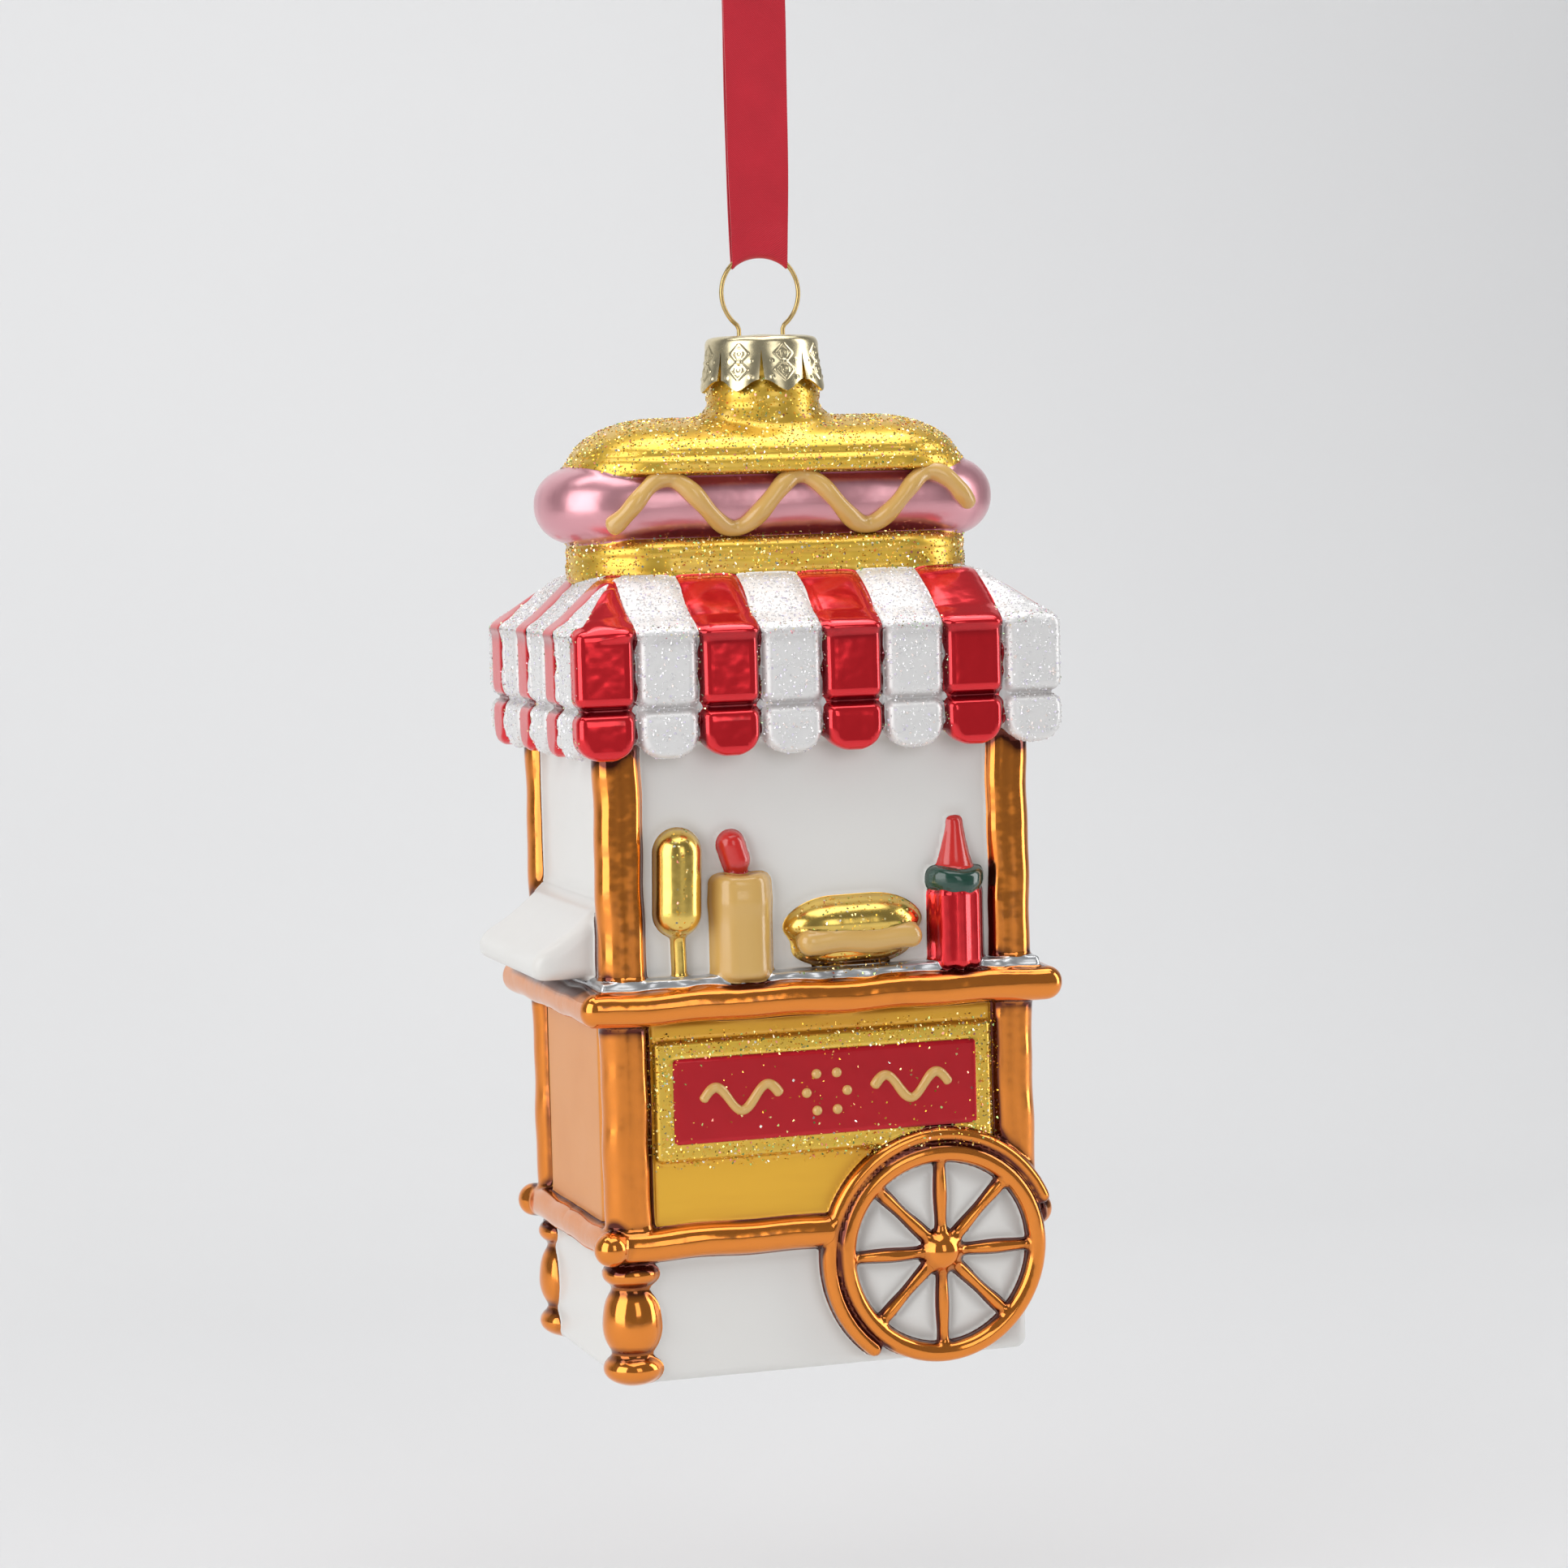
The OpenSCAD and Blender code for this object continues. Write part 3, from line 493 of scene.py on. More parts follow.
def round_box(x, y, z, half, r):
    """A box with half sizes and all its edges rounded by r."""
    a = np.abs(x) - (half[0] - r)
    b = np.abs(y) - (half[1] - r)
    c = np.abs(z) - (half[2] - r)
    outside = np.sqrt(np.maximum(a, 0) ** 2 + np.maximum(b, 0) ** 2 + np.maximum(c, 0) ** 2)
    return outside + np.minimum(np.maximum(np.maximum(a, b), c), 0) - r


def egg(x, y, z, radii):
    """An ellipsoid about the origin."""
    near = np.sqrt((x / radii[0]) ** 2 + (y / radii[1]) ** 2 + (z / radii[2]) ** 2) + 1e-6
    steep = np.sqrt((x / radii[0] ** 2) ** 2 + (y / radii[1] ** 2) ** 2 + (z / radii[2] ** 2) ** 2) + 1e-6
    return near * (near - 1) / steep


def rod(x, y, z, a, b, r):
    """A rod with round ends from a to b."""
    line = np.array(b, float) - np.array(a, float)
    t = ((x - a[0]) * line[0] + (y - a[1]) * line[1] + (z - a[2]) * line[2]) / (line @ line)
    t = np.clip(t, 0, 1)
    return np.sqrt((x - a[0] - t * line[0]) ** 2 + (y - a[1] - t * line[1]) ** 2
                   + (z - a[2] - t * line[2]) ** 2) - r


def upright(x, y, z, centre, r, low, high, edge):
    """An upright round post with its top and bottom edges rounded."""
    a = np.hypot(x - centre[0], y - centre[1]) - (r - edge)
    b = np.abs(z - (low + high) / 2) - ((high - low) / 2 - edge)
    return np.hypot(np.maximum(a, 0), np.maximum(b, 0)) + np.minimum(np.maximum(a, b), 0) - edge


def loaf(x, y, z, straight, r, low, high, edge):
    """A slab with round ends, straight along x, its edges rounded."""
    plan = np.hypot(np.maximum(np.abs(x) - straight, 0), y)
    return upright(plan, 0 * plan, z, (0, 0), r, low, high, edge)


print("distances: box, egg, rod, upright post, loaf")

# %% [markdown]
# The list of mouldings follows. Each one gives its reach, a box outside which it needn't be
# measured, its fillet, and its distance. Sizes come from the boxes of the CAD nodes.

# %% The list of mouldings
mouldings = {}


def moulding(name, low, high, fillet):
    """Adds the distance below it to the list."""
    def keep(distance):
        mouldings[name] = (np.array(low, float), np.array(high, float), fillet, distance)
        return distance
    return keep


def reach(node, grow=0.0):
    """The reach of a node's front half."""
    low, high = span(node)
    return (low.x - grow, low.y - grow, low.z - grow), (high.x + grow, 0.0, high.z + grow)


def wavy(x, z, amount=0.07):
    """Hand-blown glass isn't quite straight: a slow sideways wander up the cart."""
    return x + amount * np.sin(0.37 * z + 0.9) + 0.6 * amount * np.sin(0.83 * z + 0.21 * x)


CORE_X, CORE_Y = span("cabinet_shell")[1].x, span("cabinet_shell")[1].y
SKIRT_TOP = span("skirt")[1].z
RAIL_TOP = span("lower_rail")[1].z
CABINET_TOP = span("cabinet_shell")[1].z
COUNTER_TOP = span("counter_rail")[1].z
STRIP_TOP = span("counter_strip")[1].z
SERVING_TOP = span("serving_block")[1].z
CORNER_ROUND = 1.6


def wall_block(low, high):
    """The distance to a length of the cart's flat-walled body."""
    def distance(x, y, z):
        half = (CORE_X, CORE_Y, (high - low) / 2)
        bulge = 0.18 * np.cos(x / CORE_X * 1.5) * np.cos((z - (low + high) / 2) / (high - low) * 3)
        return round_box(x, y, z - (low + high) / 2, half, CORNER_ROUND) + 0.18 - bulge
    return distance


for name, low, high in (("skirt", 0, SKIRT_TOP + 2), ("cabinet_shell", RAIL_TOP - 2, CABINET_TOP + 2),
                        ("serving_block", COUNTER_TOP - 2, SERVING_TOP + 2)):
    moulding(name, (-CORE_X, -CORE_Y, low), (CORE_X, 0, high), 0.8)(wall_block(low, high))


def clear_of_wheel(distance, x, y, z):
    """Takes away whatever stands in the wheel's place on the wall."""
    low, high = span("fenders")
    wheel_low, wheel_high = span("wheel_rims")
    r = np.hypot(x - (wheel_low.x + wheel_high.x) / 2, z - (wheel_low.z + wheel_high.z) / 2)
    hole = np.maximum(r - (high.z - (wheel_low.z + wheel_high.z) / 2) + 0.9, CORE_Y - 0.4 + y)
    return fillet_cut(distance, -hole, 0.6)


def nosing(node, edge):
    """The distance to a slab all round the cart, with a rounded outer edge."""
    low, high = span(node)
    half = (high - low) / 2

    def distance(x, y, z):
        wander = 0.1 * np.sin(0.5 * x + 0.4) + 0.08 * np.sin(0.23 * x + 0.6 * y)
        slab = round_box(x, y, z - (low.z + high.z) / 2 + wander, half, edge)
        return clear_of_wheel(slab, x, y, z)
    return distance


moulding("lower_rail", *reach("lower_rail", 0.3), 0.9)(nosing("lower_rail", 1.9))
moulding("counter_rail", *reach("counter_rail", 0.3), 0.9)(nosing("counter_rail", 2.0))


@moulding("counter_strip", *reach("counter_strip", 0.6), 0.7)
def counter_strip(x, y, z):
    half_x, half_y = span("counter_strip")[1].x, span("counter_strip")[1].y
    wave = 0.55 * np.sin(0.55 * x + 1.3) * np.sin(0.21 * x) + 0.3 * np.sin(1.1 * x + 0.7 * y)
    middle = (COUNTER_TOP + STRIP_TOP) / 2 - 0.2
    return round_box(x, y - wave * 0.6, z - middle, (half_x - 0.5, half_y - 0.6, 0.75), 0.45)


print(len(mouldings), "mouldings: the walls, both rails and the silver strip")

# %% [markdown]
# A post at each corner, with a slim column beside it, framed the mould's openings.

# %% Posts and columns
POST_R = 2.4
COLUMN_R = 1.6
POST_X = span("serving_post_front_right")[1].x - POST_R
POST_Y = -span("serving_post_front_right")[0].y - POST_R
COLUMN_X = span("serving_post_front_left")[1].x * -1 + COLUMN_R


def posts(low, high):
    """The distance to the posts and columns between two heights."""
    def distance(x, y, z):
        side = wavy(np.abs(x), z)
        post = upright(side, y, z, (POST_X, -POST_Y), POST_R, low, high, 0.8)
        column = upright(side, y, z, (COLUMN_X, -POST_Y - POST_R + COLUMN_R + 0.05), COLUMN_R, low, high, 0.6)
        return clear_of_wheel(fillet_union(post, column, 0.5), x, y, z)
    return distance


moulding("serving_posts", (-29, -19.5, STRIP_TOP - 1), (29, 0, SERVING_TOP + 1), 0.5)(
    posts(STRIP_TOP - 1.2, SERVING_TOP + 1))
moulding("cabinet_posts", (-29, -19.5, RAIL_TOP - 1), (29, 0, CABINET_TOP + 1), 0.5)(
    posts(RAIL_TOP - 1, CABINET_TOP + 1))
print("posts at", round(POST_X, 2), "columns at", round(COLUMN_X, 2))

# %% [markdown]
# The awning: a core, a sloping roof and, on each of its sides, a row of raised cushions with
# a waist and a scalloped foot. One cushion is measured, and the row repeats it.

# %% Awning
AWNING_LOW, AWNING_HIGH = span("awning_core")
STRIPES_LOW = span("awning_front_red")[0]
SIDES_HIGH = span("awning_right_red")[1]
CUSHION_ROUND = 1.25
ROOF_LOW, ROOF_HIGH = span("awning_roof")
FRONT_COUNT = 8
SIDE_COUNT = 6
FRONT_PITCH = 2 * SIDES_HIGH.x / FRONT_COUNT
SIDE_PITCH = 2 * (AWNING_HIGH.y - 0.5) / SIDE_COUNT
WAIST_Z = SERVING_TOP + 4
BUN_HALF_X, BUN_HALF_Y = span("bun_bottom")[1].x, span("bun_bottom")[1].y


def stripe_place(along, pitch, count):
    """The number of the stripe at a place along a side, and how far off its middle that is."""
    number = np.clip(np.floor(along / pitch + count / 2), 0, count - 1)
    return number, along - (number + 0.5 - count / 2) * pitch


def cushions(along, out, z, pitch, count, flat):
    """Raised cushions on the plane out = flat: a long upper one and a scalloped lower one."""
    place = stripe_place(along, pitch, count)[1]
    half = pitch / 2 - 0.25
    proud = 1.6
    deep = 1.5
    depth = (proud + deep) / 2
    upper_mid = (WAIST_Z + 0.25 + AWNING_HIGH.z - 0.3) / 2
    upper_half = (AWNING_HIGH.z - 0.3 - WAIST_Z - 0.25) / 2
    middle = flat + (proud - deep) / 2
    upper = round_box(place, out - middle, z - upper_mid, (half, depth, upper_half), CUSHION_ROUND)
    lower_half = (WAIST_Z - 0.25 - STRIPES_LOW.z) / 2
    lower_z = z - STRIPES_LOW.z - lower_half
    narrow = 1.7 * np.clip(-lower_z / lower_half, 0, 1) ** 2
    lower = round_box(np.abs(place) + narrow, out - middle, lower_z, (half, depth, lower_half), CUSHION_ROUND)
    return fillet_union(upper, lower, 0.5)


@moulding("awning_front", (-32, -22.2, STRIPES_LOW.z - 0.3), (32, 0, AWNING_HIGH.z), 0.9)
def awning_front(x, y, z):
    return cushions(x, -y, z, FRONT_PITCH, FRONT_COUNT, AWNING_HIGH.y)


@moulding("awning_side", (-32, -21, STRIPES_LOW.z - 0.3), (32, 0, AWNING_HIGH.z), 0.9)
def awning_side(x, y, z):
    return cushions(y, np.abs(x), z, SIDE_PITCH, SIDE_COUNT, AWNING_HIGH.x)


@moulding("awning_core", *reach("awning_core", 0.2), 1.2)
def awning_core(x, y, z):
    half = (AWNING_HIGH - AWNING_LOW) / 2
    return round_box(x, y, z - (AWNING_HIGH.z + AWNING_LOW.z) / 2, half, 1.2)


def roof_slopes(x, y, z):
    """Distances to the front slope and to the side slope of the awning's roof."""
    rise = ROOF_HIGH.z - ROOF_LOW.z
    slopes = []
    for out, foot, top in (
            (-y, ROOF_HIGH.y + 0.6, BUN_HALF_Y + 1), (np.abs(x), ROOF_HIGH.x + 0.6, BUN_HALF_X - 1.5)):
        run = foot - top
        size = math.hypot(rise, run)
        slopes.append(((out - foot) * rise + (z - ROOF_LOW.z) * run) / size)
    return slopes


@moulding("awning_roof", (-30.5, -21.5, ROOF_LOW.z - 1.5), (30.5, 0, ROOF_HIGH.z + 0.2), 1.1)
def awning_roof(x, y, z):
    front, side = roof_slopes(x, y, z)
    front_place = stripe_place(x, FRONT_PITCH, FRONT_COUNT)[1]
    side_place = stripe_place(y, SIDE_PITCH, SIDE_COUNT)[1]
    front = front + 0.55 * (2 * front_place / FRONT_PITCH) ** 4
    side = side + 0.4 * (2 * side_place / SIDE_PITCH) ** 4
    body = fillet_cut(front, side, 1.4)
    return fillet_cut(fillet_cut(body, z - ROOF_HIGH.z, 0.8), ROOF_LOW.z - 1 - z, 0.8)


print(FRONT_COUNT, "stripes in front,", round(FRONT_PITCH, 2), "mm apart")

# %% [markdown]
# On the roof lies the hot dog: a flattened lower bun, the sausage, a domed upper bun that
# rises into the neck, and the neck itself with its open bore.

# %% Hot dog and neck
SAUSAGE_LOW, SAUSAGE_HIGH = span("sausage")
BUN_TOP_Z = span("bun_top")[1].z
NECK_HIGH = span("neck")[1]
NECK_R = NECK_HIGH.x
LIP_R = NECK_R - 0.6
BORE_R = LIP_R - 0.9
CAP_FOOT = span("cap")[0].z


@moulding("bun_bottom", *reach("bun_bottom", 0.4), 0.8)
def bun_bottom(x, y, z):
    low, high = span("bun_bottom")
    waist = 0.35 * np.exp(-((z - (low.z + high.z) / 2 - 0.2) / 0.45) ** 2)
    return loaf(x, y, z, high.x - high.y, high.y, low.z - 1.0, high.z + 0.4, 1.5) + waist * 0.5


@moulding("sausage", *reach("sausage", 0.4), 0.8)
def sausage(x, y, z):
    r = SAUSAGE_HIGH.y
    lumps = 0.12 * np.sin(0.42 * x + 0.8) * np.cos(0.5 * z)
    return loaf(x, y, z, SAUSAGE_HIGH.x - r, r, SAUSAGE_LOW.z, SAUSAGE_HIGH.z, 4.6) + lumps + 0.1


@moulding("bun_top", *reach("bun_top", 0.4), 0.7)
def bun_top(x, y, z):
    r = span("bun_top")[1].y
    plan = np.hypot(np.maximum(np.abs(x) - (span("bun_top")[1].x - r), 0), y)
    height = z - SAUSAGE_HIGH.z + 0.6
    dome = egg(plan, 0 * plan, height, (r, r, BUN_TOP_Z - SAUSAGE_HIGH.z + 0.6))
    shelf = 0.25 * np.exp(-((height - 1.6) / 0.5) ** 2)
    long_rise = 0.9 * (np.abs(x) / span("bun_top")[1].x) ** 2
    return fillet_cut(dome + shelf + 0.25 * long_rise * (height > 2), SAUSAGE_HIGH.z - 1.2 - z, 0.5)


@moulding("neck", (-8, -8, SAUSAGE_HIGH.z), (8, 0, NECK_HIGH.z + 0.3), 2.4)
def neck(x, y, z):
    rho = np.hypot(x, y)
    shoulder = np.clip((z - CAP_FOOT + 0.6) / 2.6, 0, 1)
    r = NECK_R + (LIP_R - NECK_R) * shoulder - 0.12 + 0.12 * np.cos(2.2 * (z - SAUSAGE_HIGH.z))
    return upright(rho, 0 * rho, z, (0, 0), r, SAUSAGE_HIGH.z - 1, NECK_HIGH.z, 0.3)


def bore(x, y, z):
    """The way into the glass, from inside the lower bun up through the lip."""
    return upright(x, y, z, (0, 0), BORE_R, span("bun_bottom")[1].z + 3, NECK_HIGH.z + 5, 0.5)


print("neck", round(2 * NECK_R, 1), "mm across")
# %% [markdown]
# What stands on the counter is relief on the wall: a corn dog on its stick, a mustard bottle
# with its leaning tip, a hot dog, and a sauce bottle with a green collar and a red cap.

# %% Relief on the counter
def middle_x(node):
    """The middle of a node along the cart."""
    low, high = span(node)
    return (low.x + high.x) / 2


def out_of(node):
    """How far a node reaches forward."""
    return -span(node)[0].y


CORN_LOW, CORN_HIGH = span("corn_dogs")
CORN_R = (CORN_HIGH.x - CORN_LOW.x) / 2
BOTTLE_LOW, BOTTLE_HIGH = span("mustard_bottles")
BOTTLE_R = (BOTTLE_HIGH.x - BOTTLE_LOW.x) / 2
TIP_LOW, TIP_HIGH = span("mustard_tips")
TIP_R = (TIP_HIGH.x - TIP_LOW.x) / 2
DOG_LOW, DOG_HIGH = span("hot_dog_buns")
DOG_R = (DOG_HIGH.z - DOG_LOW.z) / 2
FILL_LOW, FILL_HIGH = span("hot_dog_fillings")
FILL_R = (FILL_HIGH.z - FILL_LOW.z) / 2
SAUCE_LOW, SAUCE_HIGH = span("sauce_bottles")
SAUCE_R = (SAUCE_HIGH.x - SAUCE_LOW.x) / 2
COLLAR_LOW, COLLAR_HIGH = span("sauce_collars")
SPOUT_LOW, SPOUT_HIGH = span("sauce_caps")


@moulding("corn_dogs", *reach("corn_dogs", 0.2), 0.5)
def corn_dogs(x, y, z):
    out = -out_of("corn_dogs") + CORN_R
    x0 = middle_x("corn_dogs")
    low, high = CORN_LOW.z + CORN_R, CORN_HIGH.z - CORN_R
    return rod(x, y, z, (x0, out, low), (x0 + 0.2, out, high), CORN_R - 0.05)


@moulding("corn_dog_sticks", *reach("corn_dog_sticks", 0.5), 0.6)
def corn_dog_sticks(x, y, z):
    x0 = middle_x("corn_dog_sticks")
    y0 = -CORE_Y - 0.3
    return rod(x, y, z, (x0 + 0.15, y0, STRIP_TOP - 0.5), (x0, y0, CORN_LOW.z + 1.5), 0.85)


@moulding("mustard_bottles", *reach("mustard_bottles", 0.2), 0.5)
def mustard_bottles(x, y, z):
    x0 = middle_x("mustard_bottles")
    y0 = -out_of("mustard_bottles") + BOTTLE_R
    dent = 0.12 * np.cos(1.5 * (x - x0)) - 0.15 * np.exp(-((z - STRIP_TOP - 8.8) / 1.2) ** 2)
    return upright(x, y, z, (x0, y0), BOTTLE_R - 0.1, STRIP_TOP - 0.8, BOTTLE_HIGH.z, 1.1) + dent * 0.8


@moulding("mustard_tips", *reach("mustard_tips", 0.3), 0.35)
def mustard_tips(x, y, z):
    x0 = middle_x("mustard_tips")
    y0 = -out_of("mustard_tips") + TIP_R
    body = rod(x, y, z, (x0 - 0.25, y0, TIP_HIGH.z - TIP_R), (x0 + 0.35, y0, TIP_LOW.z + 1.7), TIP_R - 0.05)
    foot = rod(x, y, z, (x0 + 0.45, y0, TIP_LOW.z), (x0 + 0.4, y0, TIP_LOW.z + 1.5), 1.0)
    return fillet_union(body, foot, 0.8)


@moulding("hot_dog_buns", *reach("hot_dog_buns", 0.3), 0.6)
def hot_dog_buns(x, y, z):
    x0 = middle_x("hot_dog_buns")
    half = (DOG_HIGH.x - DOG_LOW.x) / 2
    y0 = -out_of("hot_dog_buns") + DOG_R
    waist = 0.9 * np.exp(-((z - FILL_LOW.z - FILL_R) / 1.3) ** 2)
    tilt = z - DOG_LOW.z - DOG_R - 0.015 * (x - x0)
    return egg(np.maximum(np.abs(x - x0) - half * 0.25, 0), y - y0, tilt, (half * 0.75, DOG_R, DOG_R)) + waist


@moulding("hot_dog_fillings", *reach("hot_dog_fillings", 0.3), 0.25)
def hot_dog_fillings(x, y, z):
    z0 = (FILL_LOW.z + FILL_HIGH.z) / 2
    y0 = -out_of("hot_dog_fillings") + FILL_R
    wander = z - z0 - 0.15 * np.sin(0.8 * x)
    return rod(x, y, wander, (FILL_LOW.x + FILL_R, y0 + 0.5, 0), (FILL_HIGH.x - FILL_R, y0 + 0.5, 0), FILL_R)


@moulding("sauce_bottles", *reach("sauce_bottles", 0.3), 0.4)
def sauce_bottles(x, y, z):
    x0 = middle_x("sauce_bottles")
    y0 = -out_of("sauce_bottles") + SAUCE_R
    flute = 0.16 * np.cos(9 * np.arctan2(x - x0, -(y - y0)))
    return upright(x, y, z, (x0, y0), SAUCE_R - 0.15, STRIP_TOP - 0.8, SAUCE_HIGH.z + 0.5, 0.7) - flute


@moulding("sauce_collars", *reach("sauce_collars", 0.3), 0.25)
def sauce_collars(x, y, z):
    x0 = middle_x("sauce_collars")
    y0 = -out_of("sauce_bottles") + SAUCE_R
    r = (COLLAR_HIGH.x - COLLAR_LOW.x) / 2
    sag = 0.25 * np.sin(0.9 * (x - x0) + 1)
    return upright(x, y, z + sag, (x0, y0), r - 0.05, COLLAR_LOW.z, COLLAR_HIGH.z, 1.2)


@moulding("sauce_caps", *reach("sauce_caps", 0.3), 0.3)
def sauce_caps(x, y, z):
    x0 = middle_x("sauce_caps")
    y0 = -out_of("sauce_caps") + (SPOUT_HIGH.x - SPOUT_LOW.x) / 2
    t = np.clip((z - SPOUT_LOW.z) / (SPOUT_HIGH.z - 1.2 - SPOUT_LOW.z), 0, 1)
    r = 2.6 - 1.45 * t ** 0.7
    side = np.hypot(x - x0 - 0.15 * t, y - y0 - 0.3) - r
    return fillet_cut(side * 0.95, z - SPOUT_HIGH.z, 0.9)


print("relief:", "corn dog, mustard bottle, hot dog, sauce bottle")

# %% [markdown]
# The folding shelf is a soft wedge on the left wall. The cabinet carries flat panels, a sign
# board with a raised edge, and the motif is piped on later.

# %% Shelf, panels and sign
SHELF_LOW, SHELF_HIGH = span("side_shelf")


@moulding("side_shelf", (SHELF_LOW.x - 0.2, -16, SHELF_LOW.z - 0.6), (-CORE_X + 3, 0, SHELF_HIGH.z + 1), 1.1)
def side_shelf(x, y, z):
    run = -CORE_X - SHELF_LOW.x - 1.4
    rise = SHELF_HIGH.z - SHELF_LOW.z - 4
    size = math.hypot(run, rise)
    hollow = 0.45 * np.sin(np.clip((x - SHELF_LOW.x) / run, 0, 1) * np.pi)
    slope = ((z - SHELF_LOW.z - 4) * run - (x - SHELF_LOW.x - 1.4) * rise) / size + hollow
    body = fillet_cut(slope, SHELF_LOW.z - z, 2.0)
    body = fillet_cut(body, SHELF_LOW.x - x, 2.2)
    body = fillet_cut(body, np.abs(y) - SHELF_HIGH.y, 2.0)
    return fillet_cut(body, x + CORE_X - 2, 0.5)


def plate(node, edge):
    """The distance to a flat plate on the front wall."""
    low, high = span(node)
    half = ((high.x - low.x) / 2, 1.5, (high.z - low.z) / 2)
    middle = Vector(((high.x + low.x) / 2, low.y + 1.5, (high.z + low.z) / 2))

    def distance(x, y, z):
        return round_box(x - middle.x, y - middle.y, z - middle.z, half, edge)
    return distance


moulding("front_panels", *reach("front_panels", 0.1), 0.6)(plate("front_panels", 0.4))
moulding("sign_borders", *reach("sign_borders", 0.1), 0.5)(plate("sign_borders", 0.6))
moulding("sign_boards", *reach("sign_boards", 0.1), 0.35)(plate("sign_boards", 0.55))


@moulding("side_panels", (-CORE_X - 0.7, -13, RAIL_TOP), (CORE_X + 0.7, 0, CABINET_TOP), 0.6)
def side_panels(x, y, z):
    low, high = span("side_panels")
    half = (1.5, high.y, (high.z - low.z) / 2)
    return round_box(np.abs(x) - high.x + 1.5, y, z - (high.z + low.z) / 2, half, 0.5)


print("plates:", "front panel, sign border, sign board, side panel")

# %% [markdown]
# The wheel is relief too: a rim, eight spokes, a hub, panes that swell a little between the
# spokes, and an arch moulding around it. The legs are turned: a bead, a vase and a ball.

# %% Wheel and legs
RIM_LOW, RIM_HIGH = span("wheel_rims")
WHEEL_X = (RIM_LOW.x + RIM_HIGH.x) / 2
WHEEL_R = (RIM_HIGH.z - RIM_LOW.z) / 2
WHEEL_Z = (RIM_HIGH.z + RIM_LOW.z) / 2
RIM_R = (-RIM_LOW.y - CORE_Y) / 2
DISC_OUT = -span("wheel_discs")[0].y - CORE_Y
HUB_OUT = -span("wheel_hubs")[0].y - CORE_Y
HUB_R = (span("wheel_hubs")[1].x - span("wheel_hubs")[0].x) / 2
SPOKES = 8
ARCH_R = (span("fenders")[1].z - WHEEL_Z)
ARCH_FROM, ARCH_TO = 20, 235
WHEEL_REACH = ((WHEEL_X - 16, -CORE_Y - 3.6, -0.2), (WHEEL_X + 14.2, -CORE_Y + 6, WHEEL_Z + 16))


def at_wheel(x, y, z):
    """Distance from the axle, angle round it, and distance out from the wall."""
    u, w = x - WHEEL_X, z - WHEEL_Z
    return np.hypot(u, w) + 0 * y, np.arctan2(w, u) + 0 * y, -y - CORE_Y + 0 * u + 0 * w


def off_spoke(r, angle):
    """Distance sideways from the nearest spoke's middle line."""
    share = np.pi / SPOKES
    return r * np.abs(np.sin((angle + share) % (2 * share) - share))


@moulding("wheel_rims", *WHEEL_REACH, 0.45)
def wheel_rims(x, y, z):
    r, angle, out = at_wheel(x, y, z)
    off = r - WHEEL_R + RIM_R - 0.1 * np.sin(3 * angle)
    beyond = np.maximum(out - RIM_R, 0) + np.maximum(-out - 1.6, 0)
    return np.hypot(off, beyond) - RIM_R


@moulding("wheel_discs", *WHEEL_REACH, 0.4)
def wheel_discs(x, y, z):
    r, angle, out = at_wheel(x, y, z)
    swell = np.minimum(off_spoke(r, angle), WHEEL_R - 2 * RIM_R - r)
    top = DISC_OUT - 0.55 + 0.6 * (1 - np.exp(-(np.maximum(swell, 0) / 1.7) ** 2))
    return fillet_cut(fillet_cut(r - WHEEL_R + 1.2, (out - top) * 0.9, 0.3), -out - 1.6, 0.3)


@moulding("wheel_spokes", *WHEEL_REACH, 0.5)
def wheel_spokes(x, y, z):
    r, angle, out = at_wheel(x, y, z)
    thick = 0.74 + 0.07 * np.cos(0.9 * r + 3 * np.round(angle * SPOKES / 2 / np.pi))
    side = np.hypot(off_spoke(r, angle), out - DISC_OUT + 0.05) - thick
    return fillet_cut(side, r - WHEEL_R + 1.2, 0.4)


@moulding("wheel_hubs", *WHEEL_REACH, 0.8)
def wheel_hubs(x, y, z):
    r, angle, out = at_wheel(x, y, z)
    return egg(r, 0 * r, out - 0.4, (HUB_R, HUB_R, HUB_OUT - 0.4))


@moulding("fenders", *WHEEL_REACH, 0.4)
def fenders(x, y, z):
    r, angle, out = at_wheel(x, y, z)
    turn = (np.degrees(angle) + 60) % 360 - 60
    past = np.radians(np.maximum(ARCH_FROM - turn, turn - ARCH_TO)) * r
    beyond = np.maximum(out - 1.25, 0) + np.maximum(-out - 1.4, 0)
    ring = np.hypot(r - ARCH_R + 0.9, beyond) - 0.95
    return fillet_cut(ring, past, 1.2)


LEG_LOW = span("legs")[0]
LEG_R = 3.7
LEG_X, LEG_Y = LEG_LOW.x + LEG_R, LEG_LOW.y + LEG_R


@moulding("legs", (LEG_LOW.x - 0.2, LEG_LOW.y - 0.2, -0.1), (LEG_X + 4.2, 0, SKIRT_TOP + 1), 0.45)
def legs(x, y, z):
    rho = np.hypot(x - LEG_X, y - LEG_Y)
    ball = egg(rho, 0, z - 2.15, (LEG_R, LEG_R, 2.15))
    vase = egg(rho, 0, z - 7.4, (LEG_R - 0.05, LEG_R - 0.05, 4.4))
    shoulder = egg(rho, 0, z - 10, (2.9, 2.9, 2.6))
    bead = egg(rho, 0, z - 13.8, (LEG_R - 0.15, LEG_R - 0.15, 1.95))
    stem = upright(rho, 0 * rho, z, (0, 0), 2.2, 1, SKIRT_TOP + 1, 0.3)
    body = fillet_union(fillet_union(vase, shoulder, 1.5), stem, 0.8)
    return fillet_union(fillet_union(body, ball, 0.7), bead, 0.7)


